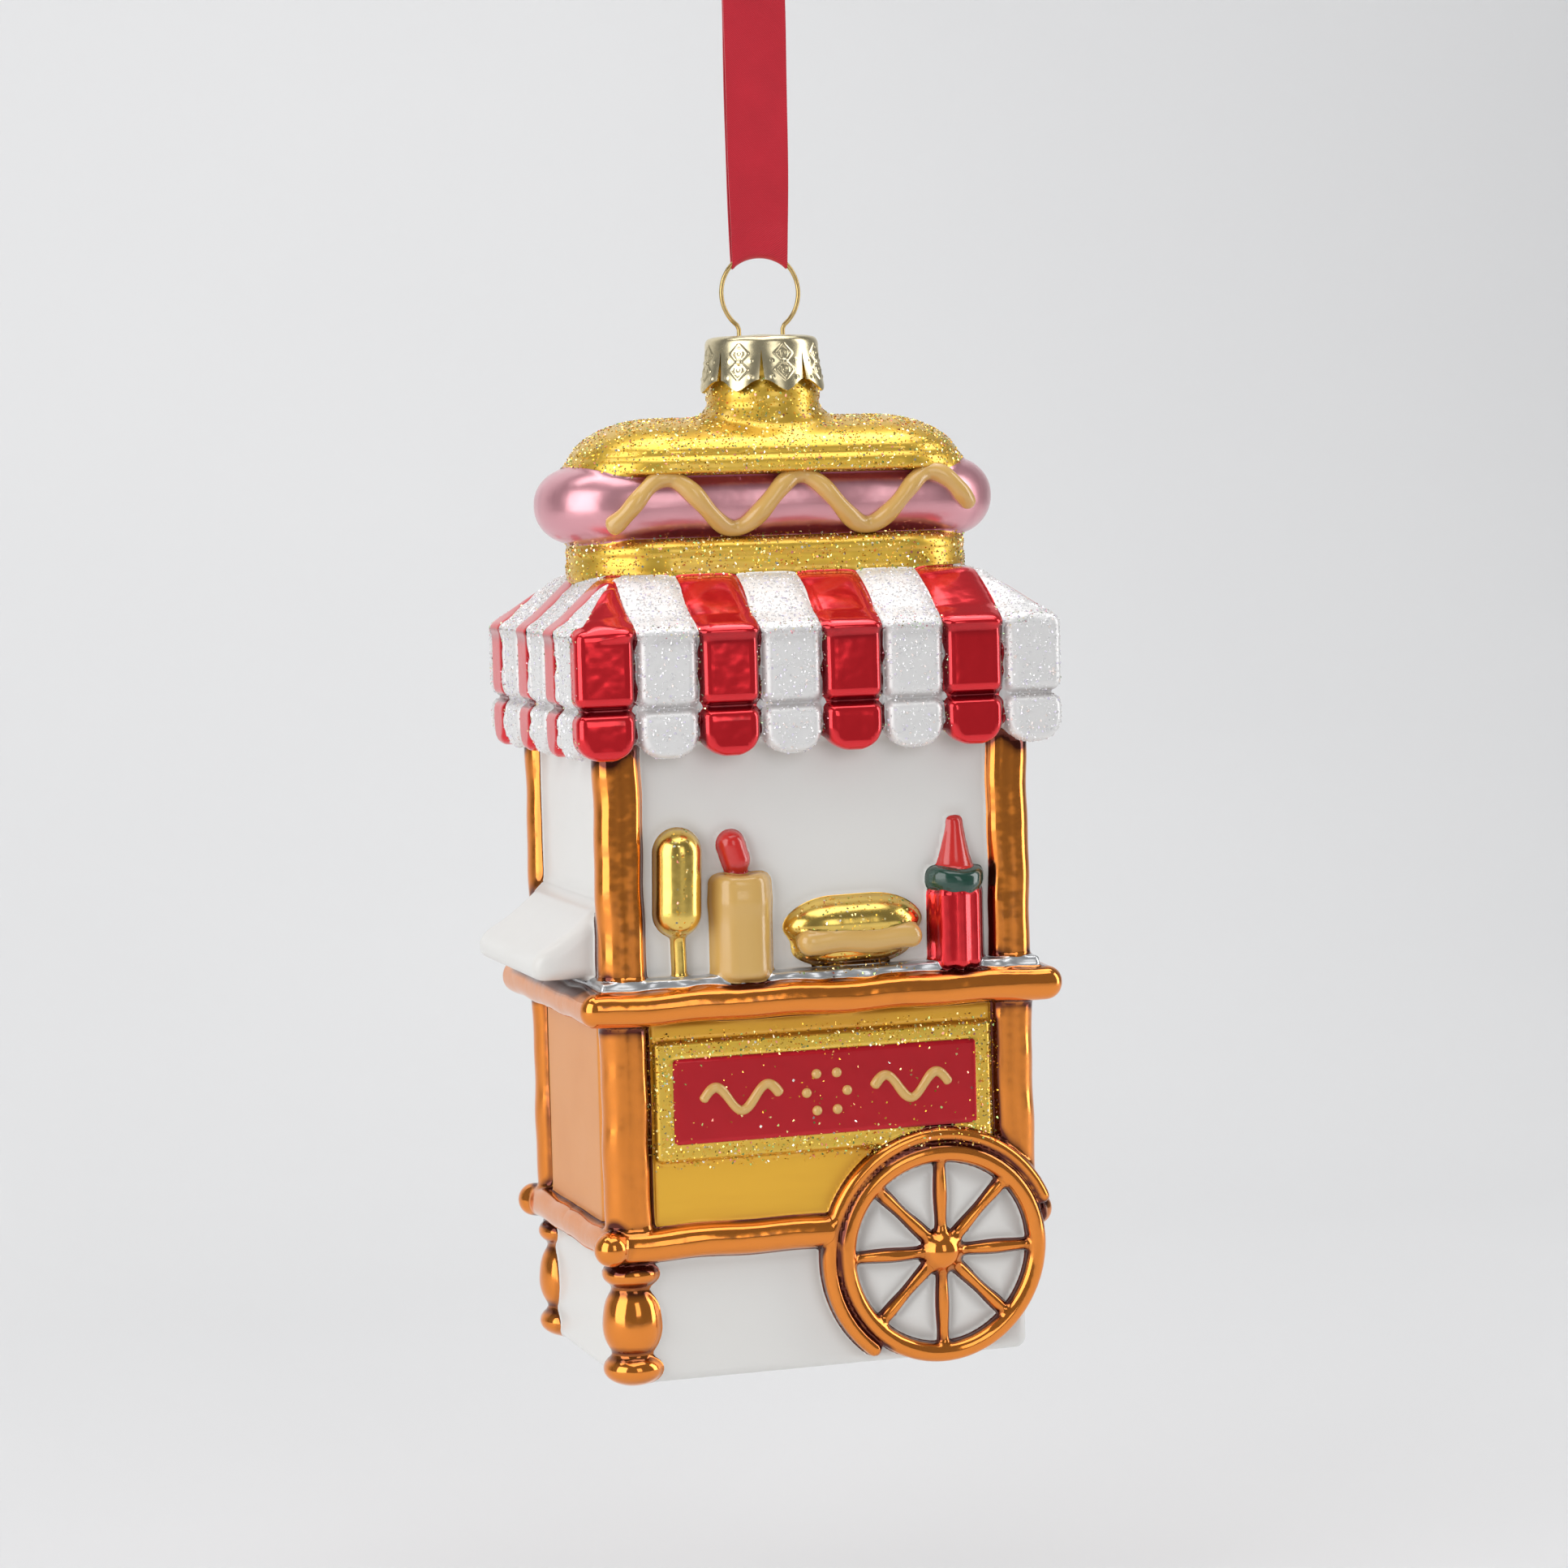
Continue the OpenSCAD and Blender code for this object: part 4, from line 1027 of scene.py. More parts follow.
@moulding("corner_knobs", *reach("corner_knobs", 0.2), 0.5)
def corner_knobs(x, y, z):
    low, high = span("corner_knobs")
    r = (high.z - low.z) / 2 + 0.25
    z0 = (high.z + low.z) / 2
    left = egg(x - low.x - r, y - low.y - r, z - z0, (r, r, r))
    right_y = -CORE_Y + r - 0.1
    return np.minimum(left, egg(x - high.x + r, y - right_y, z - z0, (r, r, r)))


print(len(mouldings), "mouldings in all")
# %% [markdown]
# All the mouldings join into one field of distances. The field is sampled on a grid for the
# front half and mirrored to the back. Where it passes through nought lies the glass: a net of
# points is laid there, one in each grid cell that the surface crosses, and pulled onto it.

# %% The glass surface
STEP = 0.9 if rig.quick() else 0.42
FAR = 3.0
GRID_LOW = np.array([-36.6, -22.8, -1.3])
GRID_SIZE = np.array([69.2, 22.8, 130.0])
counts = np.ceil(GRID_SIZE / STEP).astype(int) + 1
axes = [GRID_LOW[i] + STEP * np.arange(counts[i]) for i in range(3)]
axes[1] = -STEP * np.arange(counts[1])[::-1]
field = np.full(counts, FAR)
for low, high, radius, distance in mouldings.values():
    block = tuple(slice(*np.searchsorted(axes[i], (low[i] - 2.5, high[i] + 2.5))) for i in range(3))
    x, y, z = np.ix_(*(axes[i][block[i]] for i in range(3)))
    near = np.minimum(distance(x, y, z), FAR)
    field[block] = fillet_union(field[block], near, radius)
x, y, z = np.ix_(*axes)
field = fillet_cut(field, -bore(x, y, z), 0.35)
field = np.concatenate([field, field[:, -2::-1]], axis=1)


def glass_distance(points):
    """The joined distance at loose points."""
    x, y, z = points[:, 0], -np.abs(points[:, 1]), points[:, 2]
    result = np.full(len(points), FAR)
    for low, high, radius, distance in mouldings.values():
        here = (x > low[0] - 2.5) & (x < high[0] + 2.5) & (y > low[1] - 2.5) & (y < high[1] + 2.5)
        here = np.flatnonzero(here & (z > low[2] - 2.5) & (z < high[2] + 2.5))
        near = np.minimum(distance(x[here], y[here], z[here]), FAR)
        result[here] = fillet_union(result[here], near, radius)
    return fillet_cut(result, -bore(x, y, z), 0.35)


def surface_net(values, low, step):
    """Points in the crossed cells and the quads that join them."""
    inside = values < 0
    corners = [np.array(c) for c in np.ndindex(2, 2, 2)]
    size = np.array(values.shape) - 1
    total = sum(inside[tuple(slice(c[i], c[i] + size[i]) for i in range(3))].astype(np.int8) for c in corners)
    cells = np.argwhere((total > 0) & (total < 8))
    number = np.full(size, -1)
    number[tuple(cells.T)] = np.arange(len(cells))
    place, found = np.zeros((len(cells), 3)), np.zeros(len(cells))
    for axis in range(3):
        way = np.eye(3, dtype=int)[axis]
        for corner in (c for c in corners if c[axis] == 0):
            a = values[tuple((cells + corner).T)]
            b = values[tuple((cells + corner + way).T)]
            crossed = (a < 0) != (b < 0)
            share = np.where(crossed, a / np.where(crossed, a - b, 1), 0)
            place += crossed[:, None] * (corner + share[:, None] * way)
            found += crossed
    quads = []
    for axis in range(3):
        way = np.eye(3, dtype=int)[axis]
        first = inside[tuple(slice(0, size[i] + 1 - way[i]) for i in range(3))]
        second = inside[tuple(slice(way[i], size[i] + 1) for i in range(3))]
        edges = np.argwhere(first != second)
        others = [i for i in range(3) if i != axis]
        edges = edges[((edges[:, others] > 0) & (edges[:, others] < size[others])).all(axis=1)]
        outward = first[tuple(edges.T)]
        u, v = np.eye(3, dtype=int)[(axis + 1) % 3], np.eye(3, dtype=int)[(axis + 2) % 3]
        quad = np.stack([number[tuple((edges - s).T)] for s in (u + v, v, 0 * u, u)], axis=1)
        quads.append(np.where(outward[:, None], quad, quad[:, ::-1]))
    return low + step * (cells + place / found[:, None]), np.concatenate(quads)


def slope(points, reach=0.08):
    """The direction straight away from the glass, and the distance itself."""
    ways = np.array([(1, -1, -1), (-1, -1, 1), (-1, 1, -1), (1, 1, 1)])
    samples = [glass_distance(points + reach * w) for w in ways]
    gradient = sum(s[:, None] * w for s, w in zip(samples, ways)) / (4 * reach)
    return gradient, sum(samples) / 4


skin, quads = surface_net(field, np.array([GRID_LOW[0], axes[1][0], GRID_LOW[2]]), STEP)
for _ in range(2):
    gradient, off = slope(skin)
    steep = np.maximum((gradient ** 2).sum(axis=1), 0.25)
    pull = gradient * np.clip(off / steep, -0.4 * STEP, 0.4 * STEP)[:, None]
    skin = skin - pull
gradient = slope(skin)[0]
outward = gradient / np.maximum(np.linalg.norm(gradient, axis=1, keepdims=True), 1e-6)
# Crease depth: how far the glass closes in a little way out from each point. The paints darken the creases by it,
# which is painted shade (in the lacquers it is also pooled lacquer).
crease = np.clip(1 - glass_distance(skin + 1.6 * outward) / 1.6, 0, 1)
triangles = np.concatenate([quads[:, [0, 1, 2]], quads[:, [0, 2, 3]]])
print("glass surface:", len(skin), "points,", len(triangles), "triangles")

# %% [markdown]
# The painter's map. Each point of the glass belongs to the moulding it is nearest to, and
# some mouldings are shared out further: the awning's stripes alternate red and white, round
# each corner, and run up the roof.

# %% Which lacquer goes where
x, y, z = skin.T
RED_SIDE_HALF = 0.36 * SIDE_PITCH


def painted(distance, mask):
    """A moulding's distance where the mask is below nought, and further off elsewhere."""
    return distance + np.clip(mask, -0.05, 4)


raw = {}
for name, (low, high, radius, distance) in mouldings.items():
    raw[name] = np.full(len(skin), 9.0)
    here = (x > low[0] - 2) & (x < high[0] + 2) & (-np.abs(y) > low[1] - 2)
    here &= (z > low[2] - 2) & (z < high[2] + 2)
    raw[name][here] = distance(x[here], -np.abs(y[here]), z[here])

brush = 0.14 * np.sin(0.9 * z + 1.7 * x) + 0.1 * np.sin(2.3 * z - 1.1 * y + 0.6)
front_number, front_place = stripe_place(x + brush, FRONT_PITCH, FRONT_COUNT)
edge = FRONT_PITCH / 2 - np.abs(front_place)
red_front = np.where(front_number % 2 == 0, -edge, edge)
red_back = np.where(front_number % 2 == 1, -edge, edge)
side_number, side_place = stripe_place(y + brush, SIDE_PITCH, SIDE_COUNT)
edge = SIDE_PITCH / 2 - np.abs(side_place)
inside_red = np.abs(side_place) - RED_SIDE_HALF
outside_red = edge + SIDE_PITCH / 2 - RED_SIDE_HALF
red_left = np.where(side_number % 2 == 1, inside_red, outside_red)
red_right = np.where(side_number % 2 == 0, inside_red, outside_red)
front_slope, side_slope = roof_slopes(x, -np.abs(y), z)
on_top = front_slope - side_slope
zones = {name: raw[name] for name in mouldings if "awning" not in name and "posts" not in name}
zones["awning_core"] = raw["awning_core"] + 0.1
roof_white = np.full(len(skin), 9.0)
for side, red, half, face, roof in (
        ("front", red_front, y, "awning_front", -on_top), ("back", red_back, -y, "awning_front", -on_top),
        ("left", red_left, x, "awning_side", on_top), ("right", red_right, -x, "awning_side", on_top)):
    on_roof = np.maximum(np.maximum(red, half), roof)
    red_zone = painted(raw[face], np.maximum(red, half))
    zones[f"awning_{side}_red"] = np.minimum(red_zone, painted(raw["awning_roof"], on_roof))
    zones[f"awning_{side}_white"] = painted(raw[face], np.maximum(-red, half))
    roof_white = np.minimum(roof_white, on_roof)
zones["awning_roof"] = painted(raw["awning_roof"], -roof_white)
for level in ("serving", "cabinet"):
    for end, front in (("front", y), ("back", -y)):
        for hand, across in (("left", x), ("right", -x)):
            zones[f"{level}_post_{end}_{hand}"] = painted(raw[level + "_posts"], np.maximum(front, across))
names = list(zones)
nearness = np.array([zones[n] for n in names])
owner = nearness.argmin(axis=0)
first = nearness[owner, np.arange(len(skin))]
rest = nearness.copy()
rest[owner, np.arange(len(skin))] = 99
second = rest.min(axis=0)
print(len(names), "zones; empty:", [n for i, n in enumerate(names) if not (owner == i).any()])

# %% [markdown]
# Each zone is cut out of the surface along its border and becomes a shell of its own: the
# outer skin, an inner skin a little way in, and a wall round its edge. The edge lies exactly
# on the neighbour's, so the joints don't show.

# %% Cutting the glass into its pieces
def cut_zone(index):
    """Triangles of one zone, cut along its border, with any new points shared."""
    value = nearness[index] - np.where(owner == index, second, first) - 0.02
    sign = value[triangles] < 0
    whole = triangles[sign.all(axis=1)]
    mixed = triangles[sign.any(axis=1) & ~sign.all(axis=1)]
    made, shared, pieces = [], {}, []

    def crossing(a, b):
        key = (min(a, b), max(a, b))
        if key not in shared:
            share = value[a] / (value[a] - value[b])
            shared[key] = len(skin) + len(made)
            made.append((a, b, min(max(share, 0.02), 0.98)))
        return shared[key]

    for tri in mixed.tolist():
        loop = []
        for a, b in zip(tri, tri[1:] + tri[:1]):
            if value[a] < 0:
                loop.append(a)
            if (value[a] < 0) != (value[b] < 0):
                loop.append(crossing(a, b))
        pieces += [(loop[0], loop[i], loop[i + 1]) for i in range(1, len(loop) - 1)]
    faces = np.array(whole.tolist() + pieces, dtype=np.int64).reshape(-1, 3)
    return faces, made


def glass_piece(name, index, wall):
    """One lacquer zone as a closed shell."""
    faces, made = cut_zone(index)
    cuts = np.array(made, float).reshape(-1, 3)
    a, b = cuts[:, 0].astype(int), cuts[:, 1].astype(int)
    share = cuts[:, 2:]
    every = [np.concatenate([data, data[a] * (1 - share) + data[b] * share])
             for data in (skin, outward, crease[:, None])]
    used, faces = np.unique(faces, return_inverse=True)
    faces = faces.reshape(-1, 3)
    points, normal, pool = (data[used] for data in every)
    normal = normal / np.maximum(np.linalg.norm(normal, axis=1, keepdims=True), 1e-6)
    edges = np.concatenate([faces[:, [0, 1]], faces[:, [1, 2]], faces[:, [2, 0]]])
    code = edges[:, 0] * (len(used) + 1) + edges[:, 1]
    lone = edges[~np.isin(code, edges[:, 1] * (len(used) + 1) + edges[:, 0])]
    under = len(used)
    walls = np.stack([lone[:, 1], lone[:, 0], lone[:, 0] + under, lone[:, 1] + under], axis=1)
    inner = points - wall * normal
    everything = np.concatenate([points, inner])
    flat = np.concatenate([faces.ravel(), (faces[:, ::-1] + under).ravel(), walls.ravel()])
    mesh = bpy.data.meshes.new(name + "_glass")
    mesh.vertices.add(len(everything))
    mesh.vertices.foreach_set("co", metres(everything).ravel())
    mesh.loops.add(len(flat))
    mesh.loops.foreach_set("vertex_index", flat)
    sizes = np.concatenate([np.full(2 * len(faces), 3), np.full(len(walls), 4)])
    mesh.polygons.add(len(sizes))
    mesh.polygons.foreach_set("loop_start", np.concatenate([[0], np.cumsum(sizes)[:-1]]))
    mesh.polygons.foreach_set("use_smooth", np.ones(len(sizes), bool))
    mesh.update(calc_edges=True)
    # Crease depth for each point, which the paints read for painted shade in the creases.
    layer = mesh.attributes.new("pool", "FLOAT", "POINT")
    layer.data.foreach_set("value", np.concatenate([pool, pool]).ravel())
    edge_way = points[walls[:, 0]] - points[walls[:, 1]]
    out_way = np.cross(normal[walls[:, 1]], edge_way) if len(walls) else np.zeros((0, 3))
    out_way = out_way / np.maximum(np.linalg.norm(out_way, axis=1, keepdims=True), 1e-9)
    inner_normal = -normal[faces[:, ::-1].ravel()]
    loops = np.concatenate([normal[faces.ravel()], inner_normal, np.repeat(out_way, 4, axis=0)])
    mesh.normals_split_custom_set(loops.tolist())
    obj = bpy.data.objects.new(name + "_glass", mesh)
    bpy.context.scene.collection.objects.link(obj)
    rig.ride(obj, "glass")
    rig.replaces(obj, name)
    return obj


glass = {}
for index, name in enumerate(names):
    glass[name] = glass_piece(name, index, 0.3 if name == "neck" else 0.45)
print("largest piece:", max(len(g.data.polygons) for g in glass.values()), "faces")
# %% [markdown]
# The cap is stamped from thin gold-coloured sheet: a flat top with a low dome, a rounded
# shoulder, and eight petals that spread over the glass lip, each with a pattern pressed into
# it. Its sheet is one grid round the axis; below the notches each petal narrows by itself.

# %% Crown cap
CAP_LOW, CAP_HIGH = span("cap")
CAP_SHEET = 0.3
CAP_R = 7.05 - CAP_SHEET / 2
PETALS = 8
PETAL_COLUMNS = 46


def closed_shell(name, points, normal, faces, wall):
    """A closed solid from an open net of quads: the net, an inner copy, and walls between."""
    edges = np.concatenate([faces[:, [i, (i + 1) % 4]] for i in range(4)])
    edges = edges[edges[:, 0] != edges[:, 1]]
    code = edges[:, 0] * len(points) + edges[:, 1]
    lone = edges[~np.isin(code, edges[:, 1] * len(points) + edges[:, 0])]
    under = len(points)
    walls = np.stack([lone[:, 1], lone[:, 0], lone[:, 0] + under, lone[:, 1] + under], axis=1)
    every = np.concatenate([points + wall / 2 * normal, points - wall / 2 * normal])
    quads = [list(dict.fromkeys(f)) for f in faces.tolist()]
    return new_object(name, every, quads + [[i + under for i in f[::-1]] for f in quads] + walls.tolist())


def pressed(across, down):
    """How far the stamp raises a petal: two diamonds with a ring in each, and four dots."""
    height = 0 * across
    for low in (2.55, 4.55):
        diamond = np.abs(across) / 1.05 + np.abs(down - low) / 1.15
        height += 0.15 * np.exp(-((diamond - 1) / 0.16) ** 2)
        height += 0.12 * np.exp(-((np.hypot(across, down - low) - 0.42) / 0.14) ** 2)
        for side in (-1, 1):
            height += 0.12 * np.exp(-(np.hypot(across - side * 1.5, down - low - 0.9) / 0.2) ** 2)
    return height


def cap_shell():
    """The whole cap as one closed sheet."""
    top = CAP_HIGH.z - CAP_SHEET / 2
    flat = [(r, top - 0.35 * (r > 5.6) * (r - 5.6) ** 2 / 1.4 + 0.25 * math.exp(-(r / 2.6) ** 2) - 0.25, 0)
            for r in np.linspace(0, 6.4, 20)]
    turn = [(6.35 + (CAP_R - 6.35) * math.sin(a), top - 0.4 - 0.9 * (1 - math.cos(a)), 0)
            for a in np.linspace(0.15, 1.5, 6)]
    depth = CAP_HIGH.z - CAP_LOW.z - CAP_SHEET / 2 - 1.35
    hang = [(None, None, t) for t in np.linspace(0, 1, 44)]
    u = np.linspace(-1, 1, PETAL_COLUMNS)
    grids = []
    for petal in range(PETALS):
        middle = 2 * np.pi * (petal + 0.5) / PETALS + AZIMUTH
        rows = []
        for r, z, t in flat + turn + hang:
            notch = np.clip((t - 0.14) / 0.86, 0, 1)
            angle = middle + u * (np.pi / PETALS) * (1 - 0.13 * notch)
            if r is None:
                tip = 0.86 + 0.10 * np.cos(np.pi * u) + 0.04 * (1 - np.abs(u)) ** 3
                down = 1.35 + t * depth * tip
                z = CAP_HIGH.z - down + 0 * u
                r = CAP_R + 1.1 * np.clip((down - 1.8) / 5.5, 0, 1) ** 1.3
                r = r - 0.28 * notch * np.abs(u) ** 2 + pressed(u * 2.75 * (1 - 0.13 * notch), down)
            rows.append(np.stack([r * np.cos(angle), r * np.sin(angle), z + 0 * u], axis=1))
        grids.append(np.array(rows))
    rows, columns = grids[0].shape[:2]
    points = np.concatenate([g.reshape(-1, 3) for g in grids])
    normal = np.concatenate([grid_normals(g).reshape(-1, 3) for g in grids])
    normal[np.hypot(points[:, 0], points[:, 1]) < 0.3] = (0, 0, 1)
    outer = points * (1, 1, 0) + (0, 0, 3)
    normal *= np.sign((normal * outer).sum(axis=1, keepdims=True))
    faces = np.concatenate([grid_faces(rows, columns, i * rows * columns) for i in range(PETALS)])
    weld, back = np.unique(np.round(points, 3), axis=0, return_inverse=True)
    back = back.ravel()
    joined = np.zeros((len(weld), 3))
    np.add.at(joined, back, normal)
    joined /= np.maximum(np.linalg.norm(joined, axis=1, keepdims=True), 1e-6)
    obj = closed_shell("cap_stamped", weld, joined, back[faces], CAP_SHEET)
    mend_normals(obj)
    return obj


cap = cap_shell()
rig.ride(cap, "cap")
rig.replaces(cap, "cap")
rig.slot(cap, "cap_metal")
print("cap", len(cap.data.polygons), "faces")

# %% [markdown]
# What is drawn out along a line, the hanger's wire and the piped enamel, is one small
# geometry tree: it turns a line of points into a tube whose thickness is given at each point.

# %% A tree that makes tubes
def tube_tree(name):
    """Mesh line in, closed tube out; the attribute thick is the radius in metres."""
    tree = bpy.data.node_groups.new(name, "GeometryNodeTree")
    tree.interface.new_socket("Line", in_out="INPUT", socket_type="NodeSocketGeometry")
    sides = tree.interface.new_socket("Sides", in_out="INPUT", socket_type="NodeSocketInt")
    paint = tree.interface.new_socket("Material", in_out="INPUT", socket_type="NodeSocketMaterial")
    tree.interface.new_socket("Tube", in_out="OUTPUT", socket_type="NodeSocketGeometry")
    source = tree.nodes.new("NodeGroupInput")
    curve = tree.nodes.new("GeometryNodeMeshToCurve")
    ring = tree.nodes.new("GeometryNodeCurvePrimitiveCircle")
    thick = tree.nodes.new("GeometryNodeInputNamedAttribute")
    sweep = tree.nodes.new("GeometryNodeCurveToMesh")
    smooth = tree.nodes.new("GeometryNodeSetShadeSmooth")
    real = tree.nodes.new("GeometryNodeRealizeInstances")
    cover = tree.nodes.new("GeometryNodeSetMaterial")
    result = tree.nodes.new("NodeGroupOutput")
    thick.inputs[0].default_value = "thick"
    ring.inputs[4].default_value = 1
    sweep.inputs[3].default_value = True
    link = tree.links.new
    link(source.outputs[0], curve.inputs[0])
    link(source.outputs[1], ring.inputs[0])
    link(curve.outputs[0], sweep.inputs[0])
    link(ring.outputs[0], sweep.inputs[1])
    link(thick.outputs[0], sweep.inputs[2])
    link(sweep.outputs[0], smooth.inputs[0])
    link(smooth.outputs[0], real.inputs[0])
    link(real.outputs[0], cover.inputs[0])
    link(source.outputs[2], cover.inputs[2])
    link(cover.outputs[0], result.inputs[0])
    return tree, {"Sides": sides.identifier, "Material": paint.identifier}


def settle(obj):
    """Turns what the tree makes into a plain mesh and drops the modifier."""
    bpy.context.view_layer.update()
    made = bpy.data.meshes.new_from_object(obj.evaluated_get(bpy.context.evaluated_depsgraph_get()))
    obj.modifiers.clear()
    obj.data = made
    return obj


tubes, tube_inputs = tube_tree("tubes along lines")
stand_in_paint = bpy.data.materials.new("unpainted")


def tubes_along(name, lines, sides):
    """One object with a tube along each line of (points, radii), both in millimetres."""
    points = np.concatenate([line for line, radius in lines])
    radii = np.concatenate([radius for line, radius in lines])
    edges, start = [], 0
    for line, radius in lines:
        edges += [(start + i, start + i + 1) for i in range(len(line) - 1)]
        start += len(line)
    mesh = bpy.data.meshes.new(name)
    mesh.from_pydata(metres(points).tolist(), edges, [])
    mesh.attributes.new("thick", "FLOAT", "POINT").data.foreach_set("value", radii * MM)
    obj = bpy.data.objects.new(name, mesh)
    bpy.context.scene.collection.objects.link(obj)
    modifier = obj.modifiers.new("tubes", "NODES")
    modifier.node_group = tubes
    modifier[tube_inputs["Sides"]] = sides
    modifier[tube_inputs["Material"]] = stand_in_paint
    return settle(obj)


print("tube tree has", len(tubes.nodes), "nodes")

# %% [markdown]
# The hanger is one wire: an open ring whose ends go down through the cap's two slots and
# spread inside the neck, springing against the glass.

# %% Hanger
WIRE_LOW, WIRE_HIGH = span("hanger_wire")
WIRE_R = 0.3
RING_Z = WIRE_HIGH.z - WIRE_R - RING_R
SLOT_X = 2.85
LEG_SPREAD = WIRE_HIGH.x - WIRE_R
half_ring = math.asin(SLOT_X / RING_R)
leg = [(LEG_SPREAD - 1.0, WIRE_LOW.z + 0.35), (LEG_SPREAD - 0.35, WIRE_LOW.z + 0.42),
       (LEG_SPREAD, WIRE_LOW.z + 0.9),
       (LEG_SPREAD - 0.12, WIRE_LOW.z + 1.6), (SLOT_X + 0.15, CAP_HIGH.z - 2.4), (SLOT_X, CAP_HIGH.z - 1.4),
       (SLOT_X, CAP_HIGH.z - 0.1), (SLOT_X, RING_Z - RING_R * math.cos(half_ring) - 0.35)]
turns = np.linspace(half_ring + 0.06, np.pi, 44)
loop = [(RING_R * math.sin(a), RING_Z - RING_R * math.cos(a)) for a in turns]
side_way = np.array([(x, 0, z) for x, z in leg + loop])
whole_way = np.concatenate([side_way, (side_way * (-1, 1, 1))[-2::-1]])
wire = tubes_along("hanger_wire_drawn", [(whole_way, np.full(len(whole_way), WIRE_R - 0.02))], 20)
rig.ride(wire, "hanger")
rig.replaces(wire, "hanger_wire")
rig.slot(wire, "gold_wire")
print("wire", len(wire.data.polygons), "faces, ring", 2 * RING_R, "mm")

# %% [markdown]
# The mustard was piped on by hand over the finished lacquer, front and back. Its path is
# walked in from the front until it rests on the sausage, so it follows every bulge.

# %% Piped enamel
def laid_on(points, depth, side):
    """Points moved towards the cart until they lie the given depth above the glass."""
    points = points.copy()
    for _ in range(40):
        points[:, 1] -= side * (glass_distance(points) - depth) * 0.9
    return points


def round_ended(count, radius, length):
    """Radii along a line that swell from nothing and shrink to nothing at its ends."""
    s = np.linspace(0, length, count)
    inset = np.minimum(s, length - s)
    end = np.sqrt(np.clip(1 - (1 - np.minimum(inset / radius, 1)) ** 2, 0.002, 1))
    return radius * end * (1 + 0.06 * np.sin(1.3 * s) + 0.05 * np.sin(0.47 * s + 1))


def even_along(points, count):
    """The same line with evenly spaced points, closer together at its ends."""
    gap = np.r_[0, np.cumsum(np.linalg.norm(np.diff(points, axis=0), axis=1))]
    share = 0.5 - 0.5 * np.cos(np.linspace(0, np.pi, count))
    share = 0.25 * share + 0.75 * np.linspace(0, 1, count)
    return np.stack([np.interp(share * gap[-1], gap, points[:, i]) for i in range(3)], axis=1), gap[-1]


MUSTARD_LOW, MUSTARD_HIGH = span("mustard_line_front")
for name, side in (("mustard_line_front", -1), ("mustard_line_back", 1)):
    xs = np.linspace(MUSTARD_LOW.x + 0.9, MUSTARD_HIGH.x - 0.9, 240)
    sway = (MUSTARD_HIGH.z - MUSTARD_LOW.z) / 2 - 1.1
    zs = (MUSTARD_HIGH.z + MUSTARD_LOW.z) / 2 + sway * np.cos(2 * np.pi * (xs + 15.7) / 17.1)
    way = laid_on(np.stack([xs, np.full(len(xs), side * 14.0), zs], axis=1), 0.2, side)
    way, length = even_along(way, 260)
    radii = round_ended(260, 1.12, length)
    line = tubes_along(name + "_piped", [(way, radii)], 20)
    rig.ride(line, "glass")
    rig.replaces(line, name)
    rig.slot(line, "mustard_enamel")

print("mustard", round(length, 1), "mm along each face")
motif_lines = []
SIGN_LOW, SIGN_HIGH = span("sign_boards")
SIGN_Z = (SIGN_LOW.z + SIGN_HIGH.z) / 2
for side in (-1, 1):
    for hand in (-1, 1):
        xs = np.linspace(5.9, 15.9, 90)
        zs = SIGN_Z + 1.5 * np.sin(2 * np.pi * (xs - 5.9) / 6.6)
        way = laid_on(np.stack([hand * xs, np.full(90, side * 21.0), zs], axis=1), 0.06, side)
        way, length = even_along(way, 90)
        motif_lines.append((way, round_ended(90, 0.6, length)))
    for dot in range(6):
        turn = 2 * np.pi * dot / 6
        xs = 2.6 * math.cos(turn) + np.linspace(-0.62, 0.62, 24)
        zs = np.full(24, SIGN_Z + 2.6 * math.sin(turn))
        way = laid_on(np.stack([xs, np.full(24, side * 21.0), zs], axis=1), 0.02, side)
        radii = np.sqrt(np.clip(1 - np.linspace(-1, 1, 24) ** 2, 0.003, 1)) * 0.62
        motif_lines.append((way, radii))
motif = tubes_along("sign_motifs_piped", motif_lines, 14)
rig.ride(motif, "glass")
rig.replaces(motif, "sign_motifs")
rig.slot(motif, "mustard_enamel")
print("motif lines:", len(motif_lines))

# %% [markdown]
# Glitter and sugar were shaken onto wet lacquer. A second tree scatters thin flakes over a
# copy of the surface, as thick as the dust is on it, each turned its own way, and stores a
# random number on each for its colour. The seed is fixed.

